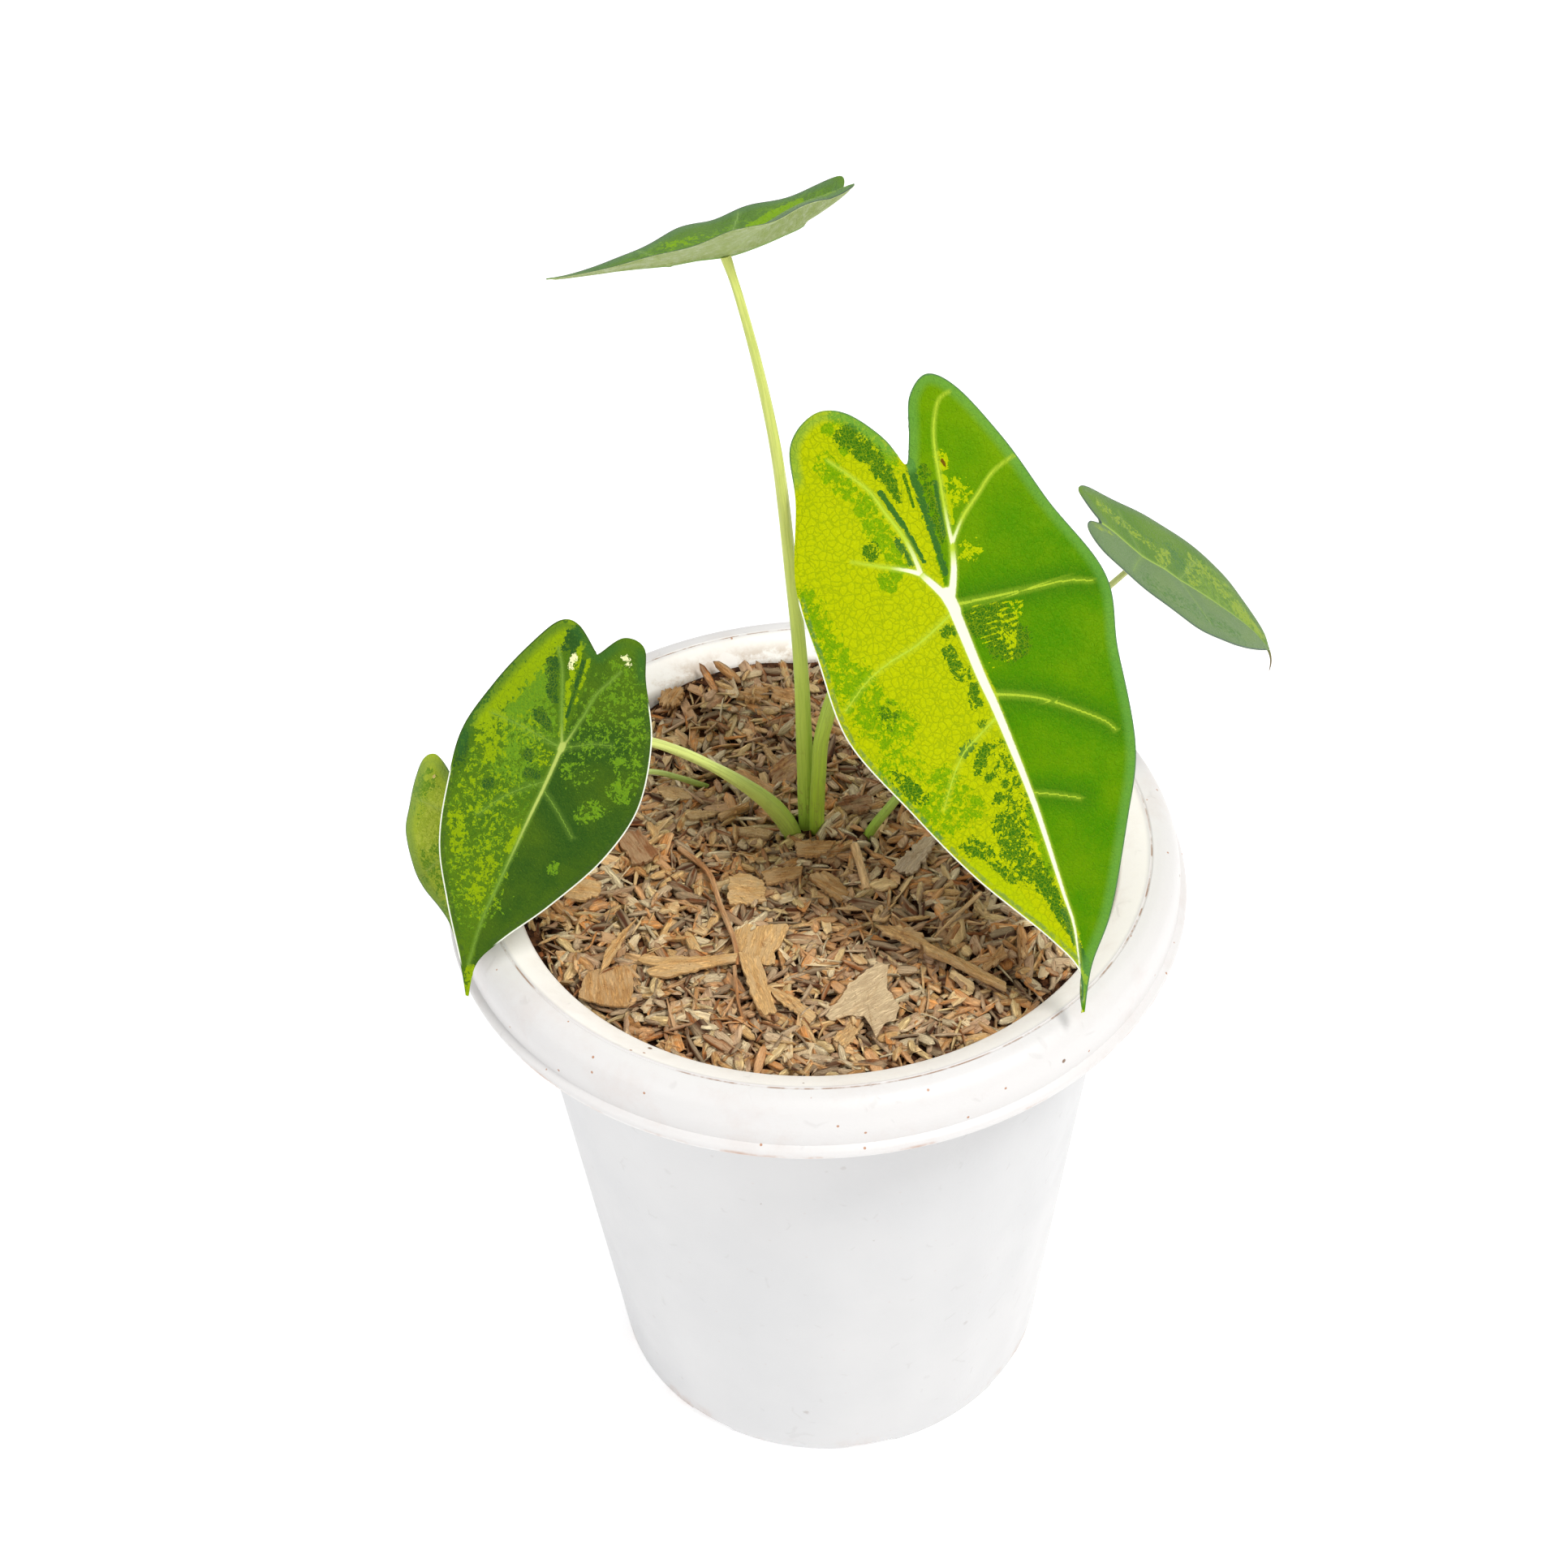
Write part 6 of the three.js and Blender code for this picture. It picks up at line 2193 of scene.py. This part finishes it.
def left_leaf() -> Leaf:
    """Returns the dark mottled leaf at the left."""
    finish = BladeFinish(
        "left_blade",
        left=tone(60, 98, 22), right=tone(36, 72, 22), light=tone(132, 158, 8),
        middle=tone(92, 134, 28), deep=tone(36, 74, 26), teal=tone(36, 76, 30),
        net=tone(100, 124, 8), rib=tone(168, 184, 92), vein=tone(112, 146, 52),
        band=tone(44, 92, 40), dark_edge=tone(54, 80, 34), net_share=0.3, vein_width=0.32,
        vein_shade=0.2, mottle_scale=0.5, mottle=1.6,
    )
    veins = (
        Vein((
            (0, 0), (10, -0.5), (20, -1.3), (30, -2), (40, -2.7), (50, -3.3), (62, -2.6),
        ), (1.1, 0.15), True, 0.45),
        Vein(((-0.6, 0), (0.6, 0)), (1.9, 1.9), True, 3),
        Vein(((0, 0), (-8, -3), (-15, -5.5), (-20, -7.5), (-24, -10)), (0.7, 0.2), True, 0.1),
        Vein(((-1, 0.5), (-10, 2.5), (-16, 3.5), (-21, 6), (-24, 7.5)), (0.6, 0.2), True, 0.1),
        Vein(((0, -0.5), (-1, -8), (-1.7, -14), (-2, -20)), (0.8, 0.4)),
        Vein(((0, 0.4), (-2, 4), (-4, 8), (-5, 12)), (0.6, 0.3)),
        Vein(((10, -1), (13, -5), (18, -10), (24, -14)), (0.6, 0.3)),
        Vein(((12, -0.5), (16, 5), (21, 11)), (0.4, 0.2)),
    )
    patches = (
        *strokes(
            Field.LIGHT,
            (((-28, -11.4), (-19, -15.5), (-9, -18.6), (1, -22.4)), (10, 4.5), 1.1),
            (((-27, -4.6), (-15.9, -3.9), (-3, -1.4)), (2, 1.4), 0.5),
            (((-24, -1.6), (-12, -0.8)), (1.2, 0.8), 0.4), (((1, -19), (7, -17)), (8, 6), 0.3),
            (((-1, -10), (4, -4)), (8, 5), -0.2), (((17, -15), (44, -7)), (17, 11), -0.36),
            (((24.6, -2.6), (30, -3.6)), (3, 2.4), 0.6), (((35.4, -7.5), (44, -7)), (5, 4), 0.1),
            (((26, -19.6), (34, -16.5)), (3.4, 3.4), 0.3), (((63, -1.6), (70, 0)), (2.4, 2), 0.6),
        ),
        *strokes(
            Field.MIDDLE,
            (((-15.5, -11.5), (-5, -14.6)), (9, 9), 1.3), (((-12, -9.4), (-3, -5)), (5, 4), 0.5),
            (((1, -12), (7, -11)), (14, 13), 0.5), (((16, -15), (46, -7)), (19, 12), -0.16),
            (((5.1, 18.7),), (6, 6), 0.5), (((-1.8, 15.9),), (3.4, 3.4), 0.5),
            (((-22, 8), (-7, 10)), (10, 12), -0.28), (((-18, 15), (4, 20)), (7, 6), -0.22),
            (((-14, 4), (4, 6)), (8, 8), -0.3), (((12, 14.5), (15, 11.5)), (5, 4), 0.1),
            (((30.4, 9.4),), (3, 3), 0.4), (((4.4, 3.4),), (3.4, 3.4), 0.3),
        ),
        *strokes(
            Field.TEAL,
            (((-29, -7.2), (-25, -7.4)), (3.6, 3.6), 0.8),
            (((-20, -9.8), (-13, -7.8), (-11, -6)), (3.4, 2), 0.7),
            (((-6.2, -8.4), (-3.2, -4.4)), (3.4, 1.6), 0.6), (((-23, -2.6), (-8, -1.6)), (1.2, 0.8), 0.6),
            (((4.9, -7.8),), (3.4, 3.4), 0.7), (((9.2, -5.6), (9, -3.4)), (3, 2), 0.6),
            (((6.2, -25), (13.5, -23.4)), (2.8, 3), 0.5), (((15.6, -14.5),), (3, 3), 0.4),
        ),
        *strokes(
            Field.FLECK,
            (((-23.4, -5.3), (-21.2, -5.2)), (1.5, 1.8), 0.25),
            (((-27.8, 6.9), (-26.9, 8.5)), (1.6, 1.8), 0.3),
        ),
    )
    return Leaf(
        "leaf_left",
        hub=(-65.6, -20, 248.8), along=(-0.39, -0.62, -0.68), facing=(0.01, -0.743, 0.67),
        midrib=((-26, 0), (0, 0), (22, -1.5), (50, -3.4), (70, 0)),
        margins=(
            (
                (70, -0.4), (62, -5), (48, -14), (35, -21), (18, -25), (4, -26), (-10, -22.5),
                (-24, -16.5), (-31, -12), (-31.5, -7), (-26.5, -0.5),
            ),
            (
                (70, 0.4), (61, -0.6), (52, 4), (40, 12), (23, 21), (7, 24.5), (-10, 21.5),
                (-24, 14.5), (-32, 11), (-32.5, 5), (-26.5, 0.5),
            ),
        ),
        rows=(104, 84), columns=60, sag=4, lift=3, keel=0.12, curl=3, wave=(1, 24, 1.2),
        rib_height=0.9, veins=veins, patches=patches,
        trims=((-20, 56, 1, 1.0), (14, 64, -1, 1.0), (-34, -20, 1, -0.6), (-34, 14, -1, -0.7)),
        finish=finish,
        petiole=Petiole(
            points=(
                (-6.6, 11, 171), (-6.3, 11, 185), (-10.3, 9, 197), (-17.4, 6, 208.5),
                (-32.8, -1, 227.4), (-45, -6, 238), (-58, -9, 242.5), (-65.7, -13.8, 243.3),
            ),
            radii=(2.6, 2.7, 2.6, 2, 1.4, 1.35, 1.3, 1.25, 1.2),
            finish=PetioleFinish("left_stalk", tone(186, 212, 84), tone(218, 228, 132)),
        ),
    )


def top_leaf() -> Leaf:
    """Returns the leaf on the tallest stalk, which shows its edge and its pale underside."""
    finish = BladeFinish(
        "top_blade",
        left=tone(80, 116, 46), right=tone(76, 114, 46), light=tone(116, 156, 18),
        middle=tone(96, 134, 44), deep=tone(54, 92, 50), teal=tone(60, 98, 64),
        net=tone(104, 132, 60), rib=tone(170, 188, 116), vein=tone(124, 156, 84),
        band=tone(88, 120, 84), dark_edge=tone(78, 92, 84), underside=tone(156, 170, 106),
        net_share=0.2, vein_width=0.36, gloss=0.25,
    )
    veins = (
        Vein(((-20, 0), (0, 0), (20, 0), (42, 0)), (1.2, 0.3), True),
        Vein(((0, 0), (-3, 5), (-6, 11), (-9, 16)), (0.7, 0.3)),
        Vein(((0, 0), (-3, -5), (-6, -11), (-9, -16)), (0.7, 0.3)),
        Vein(((14, 0), (16, 4), (19, 8)), (0.5, 0.2)),
        Vein(((14, 0), (16, -4), (19, -8)), (0.5, 0.2)),
    )
    patches = (
        *strokes(
            Field.LIGHT,
            (((0, -6), (-8, -7.5), (-17, -9.5), (-22, -9)), (4.5, 3.5), 0.9),
            (((12, -8), (2, -9)), (4, 5), -0.1), (((-28, 7), (-18, 6)), (5, 5), 0),
        ),
        *strokes(
            Field.MIDDLE,
            (((-24, -8), (20, -6)), (12, 7), -0.05), (((-26, 8), (-12, 9)), (10, 9), 0),
        ),
    )
    left = (
        (44, -0.4), (38.5, -1.4), (30, -4.3), (21, -8.5), (12, -13), (5, -16.5), (-1, -18.5),
        (-10, -18), (-19, -15.5), (-28, -11.5), (-33.6, -7.5), (-32.4, -3), (-28, -1.2), (-20, -0.5),
    )
    right = (
        (44, 0.4), (38.5, 1.4), (30, 4.3), (21, 8.5), (12, 13), (5, 16.5), (-1, 18.5), (-10, 18),
        (-19, 15), (-26.5, 12.6), (-31.4, 9.4), (-32.4, 4.6), (-30.5, 1.6), (-26, 0.8), (-20, 0.5),
    )
    return Leaf(
        "leaf_top",
        hub=(-17.1, 8, 380.4), along=(-0.953, -0.3, 0.02), facing=(-0.115, 0.42, 0.9),
        midrib=((-20, 0), (0, 0), (44, 0)), margins=(left, right),
        rows=(80, 66), columns=46, sag=-1.5, lift=9.5, keel=0.37, curl=0, wave=(0.7, 21, 0),
        rib_height=0.8, veins=veins, patches=patches,
        trims=((-34, 44, 1, -0.7), (-34, 44, -1, -0.7)), finish=finish,
        raised_lobe=4.4,
        petiole=Petiole(
            points=(
                (-2.2, 15.8, 171), (-2.2, 15.6, 190), (-2.2, 14.4, 219), (-2.6, 13, 252),
                (-4.3, 12, 283), (-6.6, 10, 319), (-10.3, 8, 347), (-14.4, 6.2, 370),
            ),
            radii=(2.4, 2.4, 2.2, 2, 1.8, 1.6, 1.4, 1.2, 1),
            finish=PetioleFinish("top_stalk", tone(186, 216, 82), tone(206, 214, 110), tone(140, 176, 40)),
        ),
    )


def right_leaf() -> Leaf:
    """Returns the small grey-green leaf at the right, seen at a slant."""
    finish = BladeFinish(
        "right_blade",
        left=tone(104, 130, 86), right=tone(92, 128, 52), light=tone(136, 160, 56),
        middle=tone(110, 144, 58), deep=tone(70, 114, 58), teal=tone(66, 108, 66),
        net=tone(100, 130, 70), rib=tone(150, 178, 84), vein=tone(128, 156, 80),
        band=tone(100, 126, 86), dark_edge=tone(78, 96, 92), underside=tone(176, 188, 150),
        net_share=0.15, vein_width=0.28, vein_shade=0.2, mottle_scale=0.5, mottle=1.5, gloss=0.3,
    )
    veins = (
        Vein(((-15, 3), (0, 0.4), (10, 1), (22, 1.6), (40, 2.4), (48, 0.6)), (0.9, 0.3), True, 0.9),
        Vein(((0, 0.4), (-4, 6), (-8, 12)), (0.5, 0.3)),
        Vein(((0, 0.4), (-4, -6), (-7, -12)), (0.5, 0.3)),
        Vein(((14, 1.2), (18, 8), (22, 14)), (0.5, 0.2)),
        Vein(((14, 1.2), (18, -6), (22, -12)), (0.4, 0.2)),
    )
    patches = (
        *strokes(
            Field.LIGHT,
            (((-15, 9.5), (-2, 7.5), (6, 6)), (3, 2.4), 0), (((7, 3), (9, 7)), (4, 4), 0.1),
            (((19, 4), (20, 12), (32, 9)), (5, 5), 0), (((38, 6), (47, 2.6)), (6, 2.6), 0.7),
            (((-19, -1.5), (-13, -0.5)), (3, 2), 0.5),
        ),
        *strokes(Field.MIDDLE, (((24, 8), (36, 8)), (12, 9), 0.2)),
        *strokes(
            Field.DEEP,
            (((12, 9), (17, 6)), (7, 5), 0.5), (((-8, 8), (4, 8)), (3, 3), 0.1),
            (((0, -13), (34, -9)), (7, 5), -0.1),
        ),
    )
    return Leaf(
        "leaf_right",
        hub=(89, 17, 276.4), along=(0.75, 0.04, -0.66), facing=(0.66, 0, 0.75),
        midrib=((-15, 3), (0, 0.4), (22, 1.6), (40, 2.4), (50, 0)),
        margins=(
            (
                (50, -0.4), (43, -6.5), (35, -12), (27, -16), (14, -19.5), (1, -18), (-9, -16),
                (-18, -13), (-22, -7), (-20.5, -1), (-15, 2.7),
            ),
            (
                (50, 0.4), (48, 6), (40, 13), (32, 17.5), (18, 19.5), (5, 18.5), (-9, 16),
                (-20, 13.5), (-23, 10), (-20, 6.5), (-15, 3.3),
            ),
        ),
        rows=(80, 66), columns=46, sag=2, lift=0.5, keel=0.12, curl=0.5, wave=(0.12, 22, 0.5),
        rib_height=0.7, veins=veins, patches=patches,
        trims=((-24, 50, 1, -0.8), (-24, 50, -1, -0.8)), finish=finish,
        petiole=Petiole(
            points=(
                (11, 9, 171), (14.1, 9, 185), (22.7, 10, 198.8), (44.5, 12, 228), (66.2, 14, 254.1),
                (80, 16, 267.5),
            ),
            radii=(1.5, 1.4, 1.2, 1.05, 0.95, 0.85, 0.8),
            # Painted light: the tip is painted near white where it lies in the leaf's shade by the hub.
            finish=PetioleFinish("right_stalk", tone(160, 196, 60), tone(236, 242, 168)),
        ),
    )


def small_leaf() -> Leaf:
    """Returns the smallest leaf, behind the left one."""
    finish = BladeFinish(
        "small_blade",
        left=tone(156, 174, 50), right=tone(148, 168, 46), light=tone(174, 188, 66),
        middle=tone(96, 134, 30), deep=tone(84, 120, 40), teal=tone(70, 112, 50),
        fleck=tone(204, 184, 116), net=tone(126, 146, 44), rib=tone(160, 178, 90),
        vein=tone(150, 170, 80), band=tone(110, 140, 70), dark_edge=tone(110, 134, 90),
        net_share=0.15, vein_width=0.3, vein_shade=0.1, mottle_scale=0.34, mottle=1.4,
    )
    veins = (
        Vein(((-9, 0), (0, 0), (16, 0), (32, 0)), (0.9, 0.3), True),
        Vein(((0, 0), (-2, -6), (-4, -11)), (0.5, 0.2)),
        Vein(((0, 0), (-2, 6), (-4, 11)), (0.5, 0.2)),
        Vein(((9, 0), (12, -5), (15, -9)), (0.4, 0.2)),
        Vein(((9, 0), (12, 5), (15, 9)), (0.4, 0.2)),
    )
    patches = (
        *strokes(Field.LIGHT, (((-4, -6), (6, -9)), (5, 5), 0.2)),
        *strokes(
            Field.MIDDLE,
            (((-8, -9), (16, -7)), (7, 5), 0.05), (((14, -3), (28, -1)), (7, 4), 0.1),
            (((0, 8), (14, 7)), (8, 6), 0.3),
        ),
        *strokes(Field.FLECK, (((-10.5, -6.5),), (1, 1), 0.8)),
    )
    return Leaf(
        "leaf_small",
        hub=(-95.6, -19.9, 225.7), along=(-0.05, -0.67, -0.74), facing=(-0.45, -0.65, 0.62),
        midrib=((-9, 0), (0, 0), (33.5, 0)),
        margins=(
            (
                (33.5, -0.4), (28.5, -2.4), (24.5, -5.3), (19.5, -9.9), (14.5, -13.1), (7.5, -14.8),
                (0.5, -15.5), (-9.5, -12.5), (-15, -10), (-16.5, -6.5), (-14, -3.5), (-9, -0.5),
            ),
            (
                (33.5, 0.4), (28.5, 2.4), (24, 5.3), (19, 9.5), (14, 12.5), (7.5, 14), (0.5, 14.5),
                (-9, 12), (-15, 9.5), (-16, 6), (-14, 3.5), (-9, 0.5),
            ),
        ),
        rows=(64, 50), columns=38, sag=1.5, lift=1, keel=0.12, curl=1, wave=(0.5, 16, 0),
        rib_height=0.6, veins=veins, patches=patches,
        trims=((-18, 33, 1, -0.5), (-18, 33, -1, -0.5)), finish=finish,
        petiole=Petiole(
            points=(
                (-20, 40, 174), (-30.5, 33, 185.3), (-38.6, 27, 194.8), (-45.5, 21, 202.7),
                (-67, 5, 217), (-82, -6, 221.5), (-92, -14.8, 221),
            ),
            radii=(0.9, 0.9, 0.85, 0.8, 0.8, 0.75, 0.7, 0.7),
            finish=PetioleFinish("small_stalk", tone(170, 196, 84), tone(214, 228, 150)),
        ),
    )


@dataclass
class TipThread:
    """The dried thread that hangs from the right leaf's tip, in millimetres."""

    leaf: Leaf
    points: tuple[Triple, ...] = (
        (0, 0, 0), (0.7, -0.5, -1.5), (1.1, -1.3, -3.4), (1.0, -1.9, -5.0), (0.7, -2.3, -6.4),
    )
    radii: tuple[float, ...] = (0.42, 0.34, 0.26, 0.2, 0.08)

    def build(self) -> None:
        """Makes the thread."""
        tip = np.array([[self.leaf.midrib[-1][0] - 0.8, 0.0]])
        start = (self.leaf.bent(tip, np.zeros(1)) @ self.leaf.axes() + np.array(self.leaf.hub))[0]
        points = tuple(tuple(start + np.array(p)) for p in self.points)
        finish = PetioleFinish("dried_thread", tone(120, 128, 70), tone(150, 130, 92), tone(104, 92, 60))
        tube = SweptTube(points, self.radii, sides=10, samples=40, ridge=0.06)
        register(tube.build("leaf_right_tip_thread", finish.material()), "leaf")


# ------------------------------------------------------------------ assembly


def main() -> None:
    """Builds the camera, the studio, the pot, its filling and the leaves, in that order."""
    logging.basicConfig(level=logging.INFO, format="%(message)s")
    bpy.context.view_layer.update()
    StudioCamera().build()
    Studio().build()
    make_specks()
    make_fibres()
    make_weathering()
    make_leaf_surface()
    pot = Pot()
    pot.build()
    leaves = (front_leaf(), left_leaf(), top_leaf(), right_leaf(), small_leaf())
    roots = [leaf.petiole.points[1][:2] for leaf in leaves]
    Substrate(pot, roots).build()
    for leaf in leaves:
        leaf.build()
    TipThread(leaves[3]).build()


if __name__ == "__main__":
    main()
